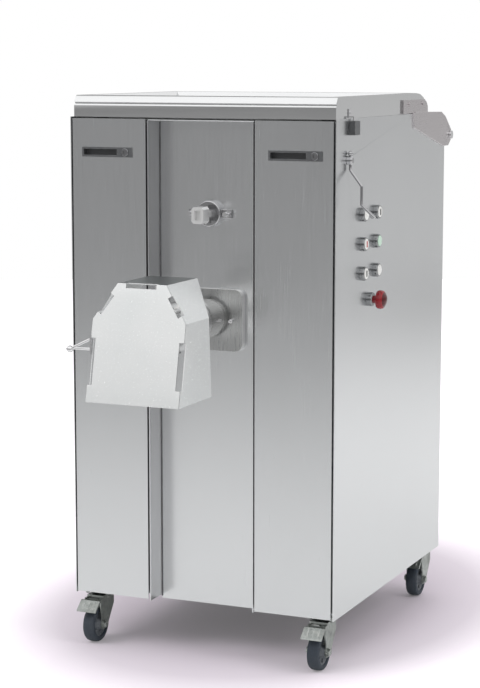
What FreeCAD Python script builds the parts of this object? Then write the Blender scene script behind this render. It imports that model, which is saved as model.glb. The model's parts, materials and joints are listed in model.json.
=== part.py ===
import FreeCAD, Part
import Sketcher
import math
import os
import re
from FreeCAD import Vector

os.makedirs("parts", exist_ok=True)
doc = FreeCAD.newDocument("meat_mixer_grinder")

# Driving dimensions in millimetres. Heights are above the floor, X runs to the machine's
# right as the photograph shows it, the front faces -Y.
SIZES = dict(
    # cabinet and its sheets
    cabinet_width=600,
    cabinet_depth=706,
    panel_base=111,
    seam_height=1142,
    skin=2,
    recess_width=236,
    recess_depth=56,
    recess_drop=8,
    deck_inset=5.5,
    # welded frame
    tube_size=40,
    tube_wall=3,
    post_size=22,
    # doors, their pivots and their pulls
    door_gap=3,
    door_free_gap=4,
    door_depth=22,
    door_wall=2,
    pivot_inset=5.5,
    pivot_depth=6,
    pivot_radius=2.5,
    pull_width=118,
    pull_height=21,
    pull_drop=73,
    left_pull_shift=4,
    right_pull_shift=3.5,
    lock_radius=7,
    # lid, its arms and the rear shaft
    lid_inset=4.5,
    lid_height=45,
    lid_front=8.5,
    lid_rear=123,
    tray_rim=15.5,
    tray_depth=15,
    hinge_drop=54.5,
    hinge_back=30.5,
    shaft_radius=6,
    arm_thickness=4,
    cheek_thickness=3.5,
    # mixing tub, paddle and feed worm
    tub_side=60,
    tub_front=68,
    tub_rear=158,
    tub_wall=2.5,
    bowl_gap=15,
    coaming_height=13,
    paddle_drop=199,
    paddle_reach=155,
    paddle_shaft=15,
    arm_margin=80,
    blade_length=76,
    blade_height=44,
    blade_thickness=8,
    worm_drop=217.5,
    worm_radius=31,
    worm_shaft=11,
    worm_pitch=75,
    running_gap=0.06,
    # grinding head
    flange_half=77,
    flange_height=130,
    flange_thickness=14,
    flange_corner=18,
    neck_wall=5.7,
    collar_step=4.3,
    bell_wall=9,
    bell_front=213,
    plate_margin=10,
    plate_thickness=10,
    nut_wall=8,
    # guard over the outlet
    guard_room=43,
    guard_shoulder_cut=48,
    guard_drop=129.5,
    guard_side_rise=30.5,
    guard_rise=102.5,
    guard_front=271,
    guard_lean=50,
    guard_sheet=2,
    guard_pivot_y=139,
    guard_pivot_drop=22,
    slot_width=9,
    handle_reach=49.5,
    # controls on the right side
    bezel_radius=15,
    bezel_depth=10.5,
    button_radius=11.5,
    button_travel=3,
    mushroom_radius=20,
    lever_drop=83,
    button_top_drop=199,
    button_pitch=61.5,
    button_spread=82,
    stop_drop=380,
    lever_rod=3,
    # castors
    castor_inset=38.5,
    castor_front=45,
    castor_rear=26,
    wheel_radius=40,
    wheel_trail=27,
    axle_radius=6,
    # drives and fittings inside
    gearbox_half=75,
    motor_radius=70,
    gland_bore=6.5,
)

# Sizes that follow from the ones above
LINKED = dict(
    deck_half="cabinet_width / 2 - deck_inset",
    door_width="(cabinet_width - recess_width) / 2 - 2 * skin - door_gap - door_free_gap",
    pull_level="seam_height - pull_drop",
    left_pull_offset="(door_width - pull_width) / 2 - left_pull_shift",
    right_pull_offset="(door_width - pull_width) / 2 + right_pull_shift",
    lid_half="cabinet_width / 2 - lid_inset",
    lid_length="cabinet_depth - lid_front - lid_rear",
    tray_half="lid_half - tray_rim",
    hinge_height="seam_height - hinge_drop",
    tub_half="cabinet_width / 2 - tub_side",
    tub_length="cabinet_depth - tub_front - tub_rear",
    bowl_radius="paddle_reach + bowl_gap",
    paddle_height="seam_height - paddle_drop",
    worm_height="paddle_height - worm_drop",
    neck_radius="worm_radius + 1 + neck_wall",
    collar_radius="neck_radius + collar_step",
    plate_radius="worm_radius + plate_margin",
    bell_radius="plate_radius + bell_wall",
    nut_radius="bell_radius + nut_wall",
    guard_half="nut_radius + guard_room",
    guard_shoulder="guard_half - guard_shoulder_cut",
    guard_base="worm_height - guard_drop",
    guard_bend="worm_height + guard_side_rise",
    guard_top="worm_height + guard_rise",
    guard_pivot_z="guard_top - guard_pivot_drop",
    lever_height="seam_height - lever_drop",
    castor_side="cabinet_width / 2 - castor_inset",
)

dims = doc.addObject("Spreadsheet::Sheet", "dims")
rows = list(SIZES.items()) + [(alias, "=" + formula) for alias, formula in LINKED.items()]
for row, (alias, value) in enumerate(rows, start=1):
    dims.set(f"A{row}", alias)
    dims.set(f"B{row}", str(value))
    dims.setAlias(f"B{row}", alias)
doc.recompute()

# Datum expressions shared by the sections below
FRONT = "(-cabinet_depth / 2)"
REAR = "(cabinet_depth / 2)"
SIDE = "(cabinet_width / 2)"
INNER = "(cabinet_width / 2 - skin)"
RECESS = "(recess_depth - cabinet_depth / 2)"
DECK = "(seam_height - 4)"
DECK_LOW = "(seam_height - 4 - skin)"
TUBE_BASE = "(panel_base + 6)"
TUBE_TOP = "(panel_base + 6 + tube_size)"
WALL = "(recess_width / 2 + skin)"
TUB_Y0 = "(tub_front - cabinet_depth / 2)"
TUB_Y1 = "(tub_front + tub_length - cabinet_depth / 2)"
BULKHEAD = "(tub_front + tub_length + tub_wall - cabinet_depth / 2)"
PLATE_FACE = "(recess_depth - flange_thickness - cabinet_depth / 2)"
LID_Y0 = "(lid_front - cabinet_depth / 2)"
LID_Y1 = "(lid_front + lid_length - cabinet_depth / 2)"
LID_TOP = "(seam_height + lid_height)"
HINGE_Y = "(cabinet_depth / 2 + hinge_back)"
PIVOT_Y = "(pivot_depth - cabinet_depth / 2)"
DOOR_BASE = "(panel_base + 3)"
DOOR_TOP = "(seam_height - 3)"


def ex(text):
    """Expression text with each dimension word pointed at the sheet."""
    known = {**SIZES, **LINKED}
    return re.sub(r"[a-z_]+", lambda m: "dims." + m.group(0) if m.group(0) in known else m.group(0), str(text))


def num(text):
    """Present value of an expression, read from the sheet."""
    return float(dims.evalExpression(ex(text)))


def place(obj, base):
    """Bind an object's position to three expressions."""
    for axis, text in zip("xyz", base):
        obj.setExpression("Placement.Base." + axis, ex(text))
    return obj


def block(name, x, y, z):
    """Box between two expressions on each axis."""
    obj = doc.addObject("Part::Box", name)
    for prop, (low, high) in zip(("Length", "Width", "Height"), (x, y, z)):
        obj.setExpression(prop, ex(f"({high}) - ({low})"))
    return place(obj, (x[0], y[0], z[0]))


def rod(name, axis, base, radius, length):
    """Round bar from base along +X, +Y or +Z."""
    turns = {"X": (Vector(0, 1, 0), 90), "Y": (Vector(1, 0, 0), -90), "Z": (Vector(0, 0, 1), 0)}
    obj = doc.addObject("Part::Cylinder", name)
    obj.Placement.Rotation = FreeCAD.Rotation(*turns[axis])
    obj.setExpression("Radius", ex(radius))
    obj.setExpression("Height", ex(length))
    return place(obj, base)


def ball(name, base, radius):
    """Sphere about a point."""
    obj = doc.addObject("Part::Sphere", name)
    obj.setExpression("Radius", ex(radius))
    return place(obj, base)


def fuse(name, shapes):
    """One solid out of touching pieces."""
    obj = doc.addObject("Part::MultiFuse", name)
    obj.Shapes = shapes
    obj.Refine = True
    return obj


def cut(name, base, tools):
    """Base with one or more tools taken away."""
    obj = doc.addObject("Part::Cut", name)
    obj.Base = base
    obj.Tool = tools[0] if len(tools) == 1 else group(name + "_tools", tools)
    return obj


def common(name, first, second):
    """What two solids share."""
    obj = doc.addObject("Part::Common", name)
    obj.Base = first
    obj.Tool = second
    return obj


def group(name, links):
    """Separate solids kept together as one node."""
    obj = doc.addObject("Part::Compound", name)
    obj.Links = links
    return obj


def body_at(name, base=("0", "0", "0")):
    """Body whose own origin sits at three expressions."""
    body = doc.addObject("PartDesign::Body", name)
    return place(body, base)


def hold(sketch, geo, at, x, y):
    """Tie a point to the sketch origin by two bound distances."""
    for kind, text, axis in (("DistanceX", x, -2), ("DistanceY", y, -1)):
        value = num(text)
        if abs(value) < 1e-9:
            sketch.addConstraint(Sketcher.Constraint("PointOnObject", geo, at, axis))
            continue
        ends = (-1, 1, geo, at) if value > 0 else (geo, at, -1, 1)
        index = sketch.addConstraint(Sketcher.Constraint(kind, *ends, abs(value)))
        sign = "" if value > 0 else "-"
        sketch.setExpression(f"Constraints[{index}]", ex(f"{sign}({text})"))


def outline(body, plane, loops, level="0", closed=True):
    """Sketch of closed loops: corner pairs, or (x, y, radius) for a circle."""
    sketch = body.newObject("Sketcher::SketchObject", body.Name + "_sketch")
    base = [f for f in body.Origin.OriginFeatures if f.Role == plane + "_Plane"][0]
    sketch.AttachmentSupport = [(base, "")]
    sketch.MapMode = "FlatFace"
    sketch.setExpression("AttachmentOffset.Base.z", ex(level))
    for loop in loops:
        if isinstance(loop, tuple):
            x, y, radius = loop
            circle = Part.Circle(Vector(num(x), num(y), 0), Vector(0, 0, 1), num(radius))
            geo = sketch.addGeometry(circle, False)
            hold(sketch, geo, 3, x, y)
            index = sketch.addConstraint(Sketcher.Constraint("Radius", geo, num(radius)))
            sketch.setExpression(f"Constraints[{index}]", ex(radius))
            continue
        spots = [Vector(num(x), num(y), 0) for x, y in loop]
        count = len(spots) if closed else len(spots) - 1
        geos = []
        for i in range(count):
            geos.append(sketch.addGeometry(Part.LineSegment(spots[i], spots[(i + 1) % len(spots)]), False))
        for i in range(count):
            hold(sketch, geos[i], 1, *loop[i])
            if closed or i + 1 < count:
                after = geos[(i + 1) % count]
                sketch.addConstraint(Sketcher.Constraint("Coincident", geos[i], 2, after, 1))
        if not closed:
            hold(sketch, geos[-1], 2, *loop[-1])
    return sketch


def pad(body, plane, loops, low, high, pocket=False):
    """Pad or pocket from one level to another along the plane's axis."""
    level = f"-({high})" if plane == "XZ" else low
    kind = "Pocket" if pocket else "Pad"
    sketch = outline(body, plane, loops, level)
    feature = body.newObject("PartDesign::" + kind, f"{body.Name}_{kind.lower()}")
    feature.Profile = sketch
    feature.setExpression("Length", ex(f"({high}) - ({low})"))
    if pocket:
        feature.Reversed = True
    return body


def turned(name, base, axis, profile):
    """Body of revolution about X, Y or Z through base; profile pairs are (along, radius)."""
    body = body_at(name, base)
    plane, line = {"X": ("XY", "H_Axis"), "Y": ("YZ", "H_Axis"), "Z": ("XZ", "V_Axis")}[axis]
    pairs = [(r, a) for a, r in profile] if axis == "Z" else profile
    sketch = outline(body, plane, [pairs])
    spin = body.newObject("PartDesign::Revolution", name + "_turn")
    spin.Profile = sketch
    spin.ReferenceAxis = (sketch, [line])
    spin.Angle = 360
    return body


def prism(name, plane, loops, low, high, base=("0", "0", "0")):
    """Body with one pad."""
    return pad(body_at(name, base), plane, loops, low, high)


def bent(name, route, y, radius):
    """Round bar swept along an open route of (x, z) corners at depth y, corners rounded."""
    body = body_at(name)
    path = outline(body, "XZ", [route], flip(y), closed=False)
    (x0, z0), (x1, z1) = route[:2]
    if abs(num(x1) - num(x0)) > abs(num(z1) - num(z0)):
        ring = outline(body, "YZ", [(y, z0, radius)], x0)
    else:
        ring = outline(body, "XY", [(x0, y, radius)], z0)
    pipe = body.newObject("PartDesign::AdditivePipe", name + "_pipe")
    pipe.Profile = ring
    pipe.Spine = (path, [f"Edge{i + 1}" for i in range(len(route) - 1)])
    pipe.Transition = "Round corner"
    return body


def strut(name, start, end, radius):
    """Round bar straight from one point to another."""
    heading = Vector(*[num(f"({b}) - ({a})") for a, b in zip(start, end)])
    bar = doc.addObject("Part::Cylinder", name)
    bar.setExpression("Radius", ex(radius))
    bar.Height = heading.Length
    bar.Placement.Rotation = FreeCAD.Rotation(Vector(0, 0, 1), heading)
    return place(bar, start)


def flip(text):
    """The same distance on the other side."""
    return f"-({text})"


def both_sides(loop):
    """A loop closed by its own mirror image about X = 0, given from the middle outward."""
    return loop + [(flip(x), y) for x, y in reversed(loop) if x != "0"]


NODES = {}


def node(name, obj):
    """Keep a finished piece under its node name."""
    obj.Label = name
    NODES[name] = obj
    return obj


# Base frame: square tubes welded into a ring, corner gussets for the castors, four posts
# and the plate behind the tub that carries the gearboxes
def hollow(name, x, y, z, along):
    """Square tube, open at its two ends."""
    spans = []
    for axis, (low, high) in zip("XYZ", (x, y, z)):
        inset = "0" if axis == along else "tube_wall"
        spans.append((f"{low} + {inset}", f"{high} - {inset}"))
    return cut(name, block(name + "_outer", x, y, z), [block(name + "_hollow", *spans)])


RAIL = f"({INNER} - 2)"
RAIL_IN = f"({INNER} - 2 - tube_size)"
tubes = []
for side, (x0, x1) in (("left", (flip(RAIL), flip(RAIL_IN))), ("right", (RAIL_IN, RAIL))):
    tubes.append(hollow(f"rail_{side}", (x0, x1), (f"{FRONT} + 33", f"{REAR} - 5"), (TUBE_BASE, TUBE_TOP), "Y"))
    low, high = (flip(RAIL), f"{flip(RAIL)} + post_size") if side == "left" else (f"{RAIL} - post_size", RAIL)
    for end, y0, top in (("front", f"{FRONT} + 33", f"{DECK_LOW} - skin"), ("rear", f"{REAR} - skin - post_size", "hinge_height - 27.5")):
        tubes.append(hollow(f"post_{side}_{end}", (low, high), (y0, f"{y0} + post_size"), (TUBE_TOP, top), "Z"))
    for end, y0, y1 in (("front", f"{FRONT} + 26", f"{FRONT} + 88"), ("rear", f"{REAR} - 78", f"{REAR} - 4")):
        gx = (x0, f"{x1} + 30") if side == "left" else (f"{x0} - 30", x1)
        tubes.append(block(f"gusset_{side}_{end}", gx, (y0, y1), ("panel_base + 2", TUBE_BASE)))
for end, y0 in (("front", f"{RECESS} + 7"), ("middle", f"{BULKHEAD} - 18"), ("rear", f"{REAR} - 45")):
    tubes.append(hollow(f"cross_{end}", (flip(RAIL_IN), RAIL_IN), (y0, f"{y0} + tube_size"), (TUBE_BASE, TUBE_TOP), "X"))
bulkhead = prism("bulkhead", "XZ", [
    [(flip(f"{INNER} - 8"), TUBE_TOP), (f"{INNER} - 8", TUBE_TOP), (f"{INNER} - 8", DECK_LOW), (flip(f"{INNER} - 8"), DECK_LOW)],
    ("0", "worm_height", "worm_shaft + 9"),
    ("0", "paddle_height", "paddle_shaft + 7"),
], BULKHEAD, f"{BULKHEAD} + 6")
node("base_frame", group("base_frame", tubes + [bulkhead]))


# Castors: top plate with race and king pin, swivelling fork with its axle, wheel, brake pedal
CASTORS = {
    "front_left": (flip("castor_side"), f"({FRONT} + castor_front)"),
    "front_right": ("castor_side", f"({FRONT} + castor_front)"),
    "rear_left": (flip("castor_side"), f"({REAR} - castor_rear)"),
    "rear_right": ("castor_side", f"({REAR} - castor_rear)"),
}
AXLE = ("-wheel_trail", "wheel_radius")
plates = []
for place_name, (cx, cy) in CASTORS.items():
    seat = (cx, cy, "0")
    plate = block("castor_plate", (f"{cx} - 30", f"{cx} + 30"), (f"{cy} - 23", f"{cy} + 23"), ("panel_base - 2", "panel_base + 2"))
    race = turned("castor_race", seat, "Z", [
        ("87", "0"), ("87", "9"), ("92", "9"), ("92", "axle_radius"), ("panel_base - 8", "axle_radius"),
        ("panel_base - 8", "19"), ("panel_base - 4", "23"), ("panel_base - 2", "23"), ("panel_base - 2", "0"),
    ])
    heads = [rod("castor_bolt", "Z", (f"{cx} + {sx * 24}", f"{cy} + {sy * 17.5}", "panel_base - 5.5"), "4", "3.5") for sx in (-1, 1) for sy in (-1, 1)]
    plates.append(fuse("castor_top", [plate, race] + heads))

    leg = [[("21", "98"), ("21", "78"), ("-12", "30"), ("-wheel_trail - 6", "29"),
            ("-wheel_trail - 11", "wheel_radius"), ("-wheel_trail - 8", "54"), ("-41", "84"), ("-41", "98")]]
    legs = [prism("fork_leg", "YZ", leg, low, high, seat) for low, high in (("-20", "-17"), ("17", "20"))]
    crown = prism("fork_crown", "XY", [[("-20", "-29"), ("20", "-29"), ("20", "21"), ("-20", "21")],
                                       ("0", "0", "axle_radius + running_gap")], "98", "102.7", seat)
    axle = rod("fork_axle", "X", (f"{cx} - 20", f"{cy} - wheel_trail", "wheel_radius"), "axle_radius", "40")
    caps = [rod("fork_cap", "X", (f"{cx} + {x}", f"{cy} - wheel_trail", "wheel_radius"), "9", "3") for x in (-23, 20)]
    node(f"castor_{place_name}_fork", fuse("fork", legs + [crown, axle] + caps))

    bore = "axle_radius + running_gap"
    node(f"castor_{place_name}_wheel", turned("wheel", (cx, f"{cy} - wheel_trail", "wheel_radius"), "X", [
        ("-16.6", bore), ("16.6", bore), ("16.6", "12"), ("9", "14"), ("9", "27"), ("12.5", "28"),
        ("13.5", "33"), ("11.5", "37.5"), ("6", "wheel_radius"), ("-6", "wheel_radius"), ("-11.5", "37.5"),
        ("-13.5", "33"), ("-12.5", "28"), ("-9", "27"), ("-9", "14"), ("-16.6", "12"),
    ]))

    neck = prism("pedal_neck", "YZ", [[("-36", "88.3"), ("-36", "95.7"), ("-48", "96"), ("-48", "92.6")]], "-16.7", "16.7", seat)
    flap = prism("pedal_flap", "YZ", [[("-47", "96.4"), ("-51", "96.4"), ("-71", "79.5"), ("-73", "75.5"),
                                       ("-69.5", "75.5"), ("-50", "92.6"), ("-47", "92.6")]], "-23", "23", seat)
    hub = rod("pedal_hub", "X", (f"{cx} - 16.7", f"{cy} - 36", "92"), "3.7", "33.4")
    node(f"castor_{place_name}_pedal", fuse("pedal", [neck, flap, hub]))
node("castor_plates", group("castor_plates", plates))


# Door pivots: an eye round the pivot pin on a strap that comes forward from the stop lip
def pivot_lugs(prefix, x):
    """Upper and lower lug round a pivot at x."""
    lugs = []
    for low, high in (("panel_base + 7", "panel_base + 12"), ("seam_height - 12", "seam_height - 7")):
        strap = block(prefix + "_strap", (f"{x} - 1.5", f"{x} + 7.5"), (f"{PIVOT_Y} - 3.4", f"{FRONT} + 26"), (low, high))
        eye = rod(prefix + "_eye", "Z", (x, PIVOT_Y, low), "pivot_radius + 1.2", f"({high}) - ({low})")
        hole = rod(prefix + "_bore", "Z", (x, PIVOT_Y, f"{low} - 1"), "pivot_radius + running_gap", f"({high}) - ({low}) + 2")
        lugs.append(cut(prefix + "_lug", fuse(prefix + "_arm", [strap, eye]), [hole]))
    return lugs


STOP_Y = (f"{FRONT} + 26", f"{FRONT} + 28")
STOP_Z = ("panel_base + 7", DECK_LOW + " - skin")
LEFT_PIVOT = f"({flip(INNER)} + door_gap + pivot_inset)"
RIGHT_PIVOT = f"({WALL} + door_gap + pivot_inset)"


# Side panels: sheet with a top return and a stop lip, the rear top corner cut for the lid arms
PANEL_SIDE = [
    (FRONT, "panel_base"), (REAR, "panel_base"), (REAR, "hinge_height - 9.5"),
    (f"{HINGE_Y} - 43.5", "hinge_height - 6.5"), (f"{HINGE_Y} - 233.5", "hinge_height + 41.5"),
    (f"{HINGE_Y} - 266.5", "seam_height"), (FRONT, "seam_height"),
]
BUTTON_ROWS = tuple(f"(seam_height - button_top_drop - {row} * button_pitch)" for row in range(3))
BUTTON_COLUMNS = ("(152 - cabinet_depth / 2)", "(152 + button_spread - cabinet_depth / 2)")
STOP_BUTTON = ("(152 + button_spread / 2 - cabinet_depth / 2)", "(seam_height - stop_drop)")
LEVER_Y = "(64 - cabinet_depth / 2)"

left_skin = prism("left_skin", "YZ", [PANEL_SIDE], flip(SIDE), flip(INNER))
left_return = block("left_return", (flip(INNER), f"{flip(INNER)} + 15"), (f"{FRONT} + 26", f"{HINGE_Y} - 283.5"), (f"{DECK_LOW} - skin", DECK_LOW))
left_lip = block("left_lip", (flip(INNER), f"{flip(INNER)} + 15"), STOP_Y, STOP_Z)
node("left_side_panel", fuse("left_side_panel", [left_skin, left_return, left_lip] + pivot_lugs("left", LEFT_PIVOT)))

holes = [(y, z, "bezel_radius - 4") for y in BUTTON_COLUMNS for z in BUTTON_ROWS]
holes += [(*STOP_BUTTON, "bezel_radius - 4"), (LEVER_Y, "lever_height", "shaft_radius + running_gap")]
right_skin = prism("right_skin", "YZ", [PANEL_SIDE] + holes, INNER, SIDE)
right_return = block("right_return", (f"{INNER} - 15", INNER), (f"{FRONT} + 26", f"{HINGE_Y} - 283.5"), (f"{DECK_LOW} - skin", DECK_LOW))
right_lip = block("right_lip", (f"{INNER} - 15", INNER), STOP_Y, STOP_Z)
node("right_side_panel", fuse("right_side_panel", [right_skin, right_return, right_lip]))


# Front panel: recessed centre sheet between two side walls, with stop lips for the doors
centre = prism("centre_sheet", "XZ", [
    [(flip(f"{WALL} - skin"), "panel_base - recess_drop"), (f"{WALL} - skin", "panel_base - recess_drop"),
     (f"{WALL} - skin", DECK_LOW), (flip(f"{WALL} - skin"), DECK_LOW)],
    ("0", "worm_height", "neck_radius + 0.3"),
    ("0", "paddle_height", "20"),
], RECESS, f"{RECESS} + skin")
walls = []
for sign, prefix in (("-", "west"), ("", "east")):
    xs = sorted((f"{sign}({WALL})", f"{sign}({WALL} - skin)"), key=num)
    walls.append(block(prefix + "_wall", xs, (FRONT, f"{RECESS} + skin"), ("panel_base", DECK_LOW)))
    xs = sorted((f"{sign}({WALL})", f"{sign}({WALL} + 20)"), key=num)
    walls.append(block(prefix + "_lip", xs, STOP_Y, STOP_Z))
node("front_panel", fuse("front_panel", [centre] + walls + pivot_lugs("east", RIGHT_PIVOT)))


# Rear panel: flat sheet with two columns of ventilation slots and the cable hole
GLAND = (f"({SIDE} - 100)", "(panel_base + 89)")
slots = []
for column in ("-150", "60"):
    for step in range(9):
        low = f"panel_base + 300 + {step * 22}"
        slots.append([(column, low), (f"{column} + 90", low), (f"{column} + 90", f"{low} + 7"), (column, f"{low} + 7")])
rear_sheet = [(flip(INNER), "panel_base"), (INNER, "panel_base"), (INNER, "hinge_height - 8"), (flip(INNER), "hinge_height - 8")]
node("rear_panel", prism("rear_panel", "XZ", [rear_sheet] + slots + [(*GLAND, "12.3")], f"{REAR} - skin", REAR))

gland_turn = turned("gland_turn", (GLAND[0], "0", GLAND[1]), "Y", [
    (f"{REAR} - 14", "gland_bore"), (f"{REAR} + 22", "gland_bore"), (f"{REAR} + 22", "10"), (f"{REAR} + 17", "14"),
    (f"{REAR} + 5", "14"), (f"{REAR} + 5", "17"), (REAR, "17"), (REAR, "12"), (f"{REAR} - skin", "12"),
    (f"{REAR} - skin", "15.5"), (f"{REAR} - 8", "15.5"), (f"{REAR} - 8", "12"), (f"{REAR} - 14", "12"),
])
node("cable_gland", gland_turn)


# Top deck: flat sheet round the tub with a tongue over the recess, sloping down behind the
# lid, with cheeks folded down beside the lid arms
tub_y0, tub_y1 = f"({TUB_Y0} - tub_wall)", f"({TUB_Y1} + tub_wall)"
SLOPE_Y = f"({LID_Y1} + 4)"
flat = prism("deck_flat", "XY", [[
    ("0", f"{FRONT} + 3"), (WALL, f"{FRONT} + 3"), (WALL, f"{FRONT} + 26"), ("deck_half", f"{FRONT} + 26"),
    ("deck_half", SLOPE_Y), ("0", SLOPE_Y), (flip("deck_half"), SLOPE_Y), (flip("deck_half"), f"{FRONT} + 26"),
    (flip(WALL), f"{FRONT} + 26"), (flip(WALL), f"{FRONT} + 3"),
], [
    (flip("tub_half + tub_wall"), tub_y0), ("tub_half + tub_wall", tub_y0),
    ("tub_half + tub_wall", tub_y1), (flip("tub_half + tub_wall"), tub_y1),
]], DECK_LOW, DECK)
slope = prism("deck_slope", "YZ", [[
    (SLOPE_Y, DECK), (SLOPE_Y, DECK_LOW), (f"{REAR} - skin", "hinge_height - 10"), (f"{REAR} - skin", "hinge_height - 8"),
]], flip("deck_half"), "deck_half")
cheek = [[
    (f"{HINGE_Y} - 283.5", DECK_LOW), (f"{HINGE_Y} - 278.5", "hinge_height + 39.5"), (f"{HINGE_Y} - 233.5", "hinge_height + 29.5"),
    (f"{HINGE_Y} - 43.5", "hinge_height - 17.5"), (f"{REAR} - skin", "hinge_height - 20.5"),
    (f"{REAR} - skin", "hinge_height - 9.5"), (SLOPE_Y, DECK_LOW),
]]
cheeks = [prism("deck_cheek", "YZ", cheek, low, f"{low} + skin") for low in (flip("deck_half"), "deck_half - skin")]
node("top_deck", fuse("top_deck", [flat, slope] + cheeks))


# Mixing tub: straight sides, sloping shoulders, round bowl and a narrow worm trough below
def tub_shape(name, wall, y0, y1, top):
    """Solid tub section between two levels, grown outward by wall."""
    half = f"(tub_half + {wall})"
    bowl = f"(bowl_radius + {wall})"
    slot = f"(worm_radius + 2 + {wall})"
    upper = prism(name + "_upper", "XZ", [[
        (flip(half), top), (flip(half), "paddle_height + 107"), (flip(bowl), "paddle_height"),
        (bowl, "paddle_height"), (half, "paddle_height + 107"), (half, top),
    ]], y0, y1)
    length = f"({y1}) - ({y0})"
    round_part = rod(name + "_bowl", "Y", ("0", y0, "paddle_height"), bowl, length)
    throat = block(name + "_throat", (flip(slot), slot), (y0, y1), ("worm_height", "paddle_height - bowl_radius + 20"))
    trough = rod(name + "_trough", "Y", ("0", y0, "worm_height"), slot, length)
    return fuse(name, [upper, round_part, throat, trough])


COAMING = f"({DECK} + coaming_height + 4)"
tub_outer = tub_shape("tub_outer", "tub_wall", tub_y0, tub_y1, COAMING)
tub_inner = tub_shape("tub_inner", "0", TUB_Y0, TUB_Y1, f"{COAMING} + 5")
bores = [
    rod("tub_front_bore", "Y", ("0", f"{tub_y0} - 1", "worm_height"), "worm_radius + 1", "tub_wall + 2"),
    rod("tub_sleeve_bore", "Y", ("0", f"{tub_y0} - 1", "paddle_height"), "20", "tub_wall + 2"),
    rod("tub_worm_bore", "Y", ("0", f"{TUB_Y1} - 1", "worm_height"), "worm_shaft + running_gap", "tub_wall + 2"),
    rod("tub_paddle_bore", "Y", ("0", f"{TUB_Y1} - 1", "paddle_height"), "paddle_shaft + running_gap", "tub_wall + 2"),
]
node("hopper_tub", cut("hopper_tub", tub_outer, [tub_inner] + bores))

seal = prism("lid_seal", "XY", [
    [(flip("tub_half + 5"), f"{TUB_Y0} - 5"), ("tub_half + 5", f"{TUB_Y0} - 5"), ("tub_half + 5", f"{TUB_Y1} + 5"), (flip("tub_half + 5"), f"{TUB_Y1} + 5")],
    [(flip("tub_half - 2"), f"{TUB_Y0} + 2"), ("tub_half - 2", f"{TUB_Y0} + 2"), ("tub_half - 2", f"{TUB_Y1} - 2"), (flip("tub_half - 2"), f"{TUB_Y1} - 2")],
], COAMING, f"{LID_TOP} - tray_depth - skin - 0.3")
node("lid_seal", seal)


# Mixing paddle: shaft with four arms set a quarter turn apart, each with a pitched blade
shaft = turned("paddle_core", ("0", "0", "paddle_height"), "Y", [
    (f"{TUB_Y0} + 8", "0"), (f"{TUB_Y0} + 8", "paddle_shaft + 3"), (f"{TUB_Y0} + 30", "paddle_shaft"),
    (f"{BULKHEAD} + 60", "paddle_shaft"), (f"{BULKHEAD} + 60", "0"),
])
journal = rod("paddle_journal", "Y", ("0", f"{TUB_Y0} - 14", "paddle_height"), "12", "22")
pieces = [shaft, journal]
for index in range(4):
    y = f"({TUB_Y0} + arm_margin + {index} * (tub_length - 2 * arm_margin + 10) / 3)"
    quarter = FreeCAD.Rotation(Vector(0, 1, 0), 90 * index)
    spoke = doc.addObject("Part::Cylinder", "paddle_arm")
    spoke.setExpression("Radius", ex("paddle_shaft - 6"))
    spoke.setExpression("Height", ex("paddle_reach - 20"))
    spoke.Placement.Rotation = quarter
    pieces.append(place(spoke, ("0", y, "paddle_height")))
    blade = doc.addObject("Part::Box", "paddle_blade")
    blade.setExpression("Length", ex("blade_thickness"))
    blade.setExpression("Width", ex("blade_length"))
    blade.setExpression("Height", ex("blade_height"))
    twist = quarter * FreeCAD.Rotation(Vector(0, 0, 1), 32)
    blade.Placement.Rotation = twist
    corner = twist.multVec(Vector(-num("blade_thickness / 2"), -num("blade_length / 2"), num("paddle_reach - blade_height")))
    pieces.append(place(blade, (f"{corner.x}", f"{y} + {corner.y}", f"paddle_height + {corner.z}")))
node("mixing_paddle", fuse("mixing_paddle", pieces))


# Front bearing of the paddle: flanged sleeve with two ears, and the squared knob on its pin
sleeve = turned("bearing_sleeve", ("0", "0", "paddle_height"), "Y", [
    (f"{RECESS} - 15", "8 + running_gap"), (f"{RECESS} - 15", "26"), (f"{RECESS} - 13", "27.5"), (RECESS, "27.5"),
    (RECESS, "19.7"), (TUB_Y0, "19.7"), (TUB_Y0, "12 + running_gap"), (f"{TUB_Y0} - 15", "12 + running_gap"),
    (f"{TUB_Y0} - 15", "8 + running_gap"),
])
ears = cut("bearing_ears", block("ear_bar", ("-49", "49"), (f"{RECESS} - 5", RECESS), ("paddle_height - 9", "paddle_height + 9")),
           [rod("ear_bore", "Y", ("0", f"{RECESS} - 6", "paddle_height"), "20", "7")]
           + [rod("ear_hole", "Y", (x, f"{RECESS} - 6", "paddle_height"), "3.2", "7") for x in ("-41", "41")])
node("paddle_bearing", fuse("paddle_bearing", [sleeve, ears]))

KNOB_Y = f"({FRONT} - 13)"
stem = turned("knob_stem", ("0", "0", "paddle_height"), "Y", [
    (f"{KNOB_Y} + 28", "0"), (f"{KNOB_Y} + 28", "8"), (f"{RECESS} - 3", "8"), (f"{RECESS} - 3", "0"),
])
head = pad(body_at("knob_head", ("0", "0", "paddle_height")), "XZ", [[
    ("-13.5", "-12"), ("-9", "-17.2"), ("9", "-17.2"), ("13.5", "-12"), ("13.5", "12"), ("9", "17.2"), ("-9", "17.2"), ("-13.5", "12"),
]], KNOB_Y, f"{KNOB_Y} + 30")
pad(head, "XZ", [[("-7", "-10"), ("7", "-10"), ("7", "10"), ("-7", "10")]], f"{KNOB_Y} - 1", f"{KNOB_Y} + 9", pocket=True)
tommy = rod("knob_pin", "Z", ("0", f"{RECESS} - 26", "paddle_height - 21"), "2", "18")
node("bearing_knob", fuse("bearing_knob", [stem, head, tommy]))


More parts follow.
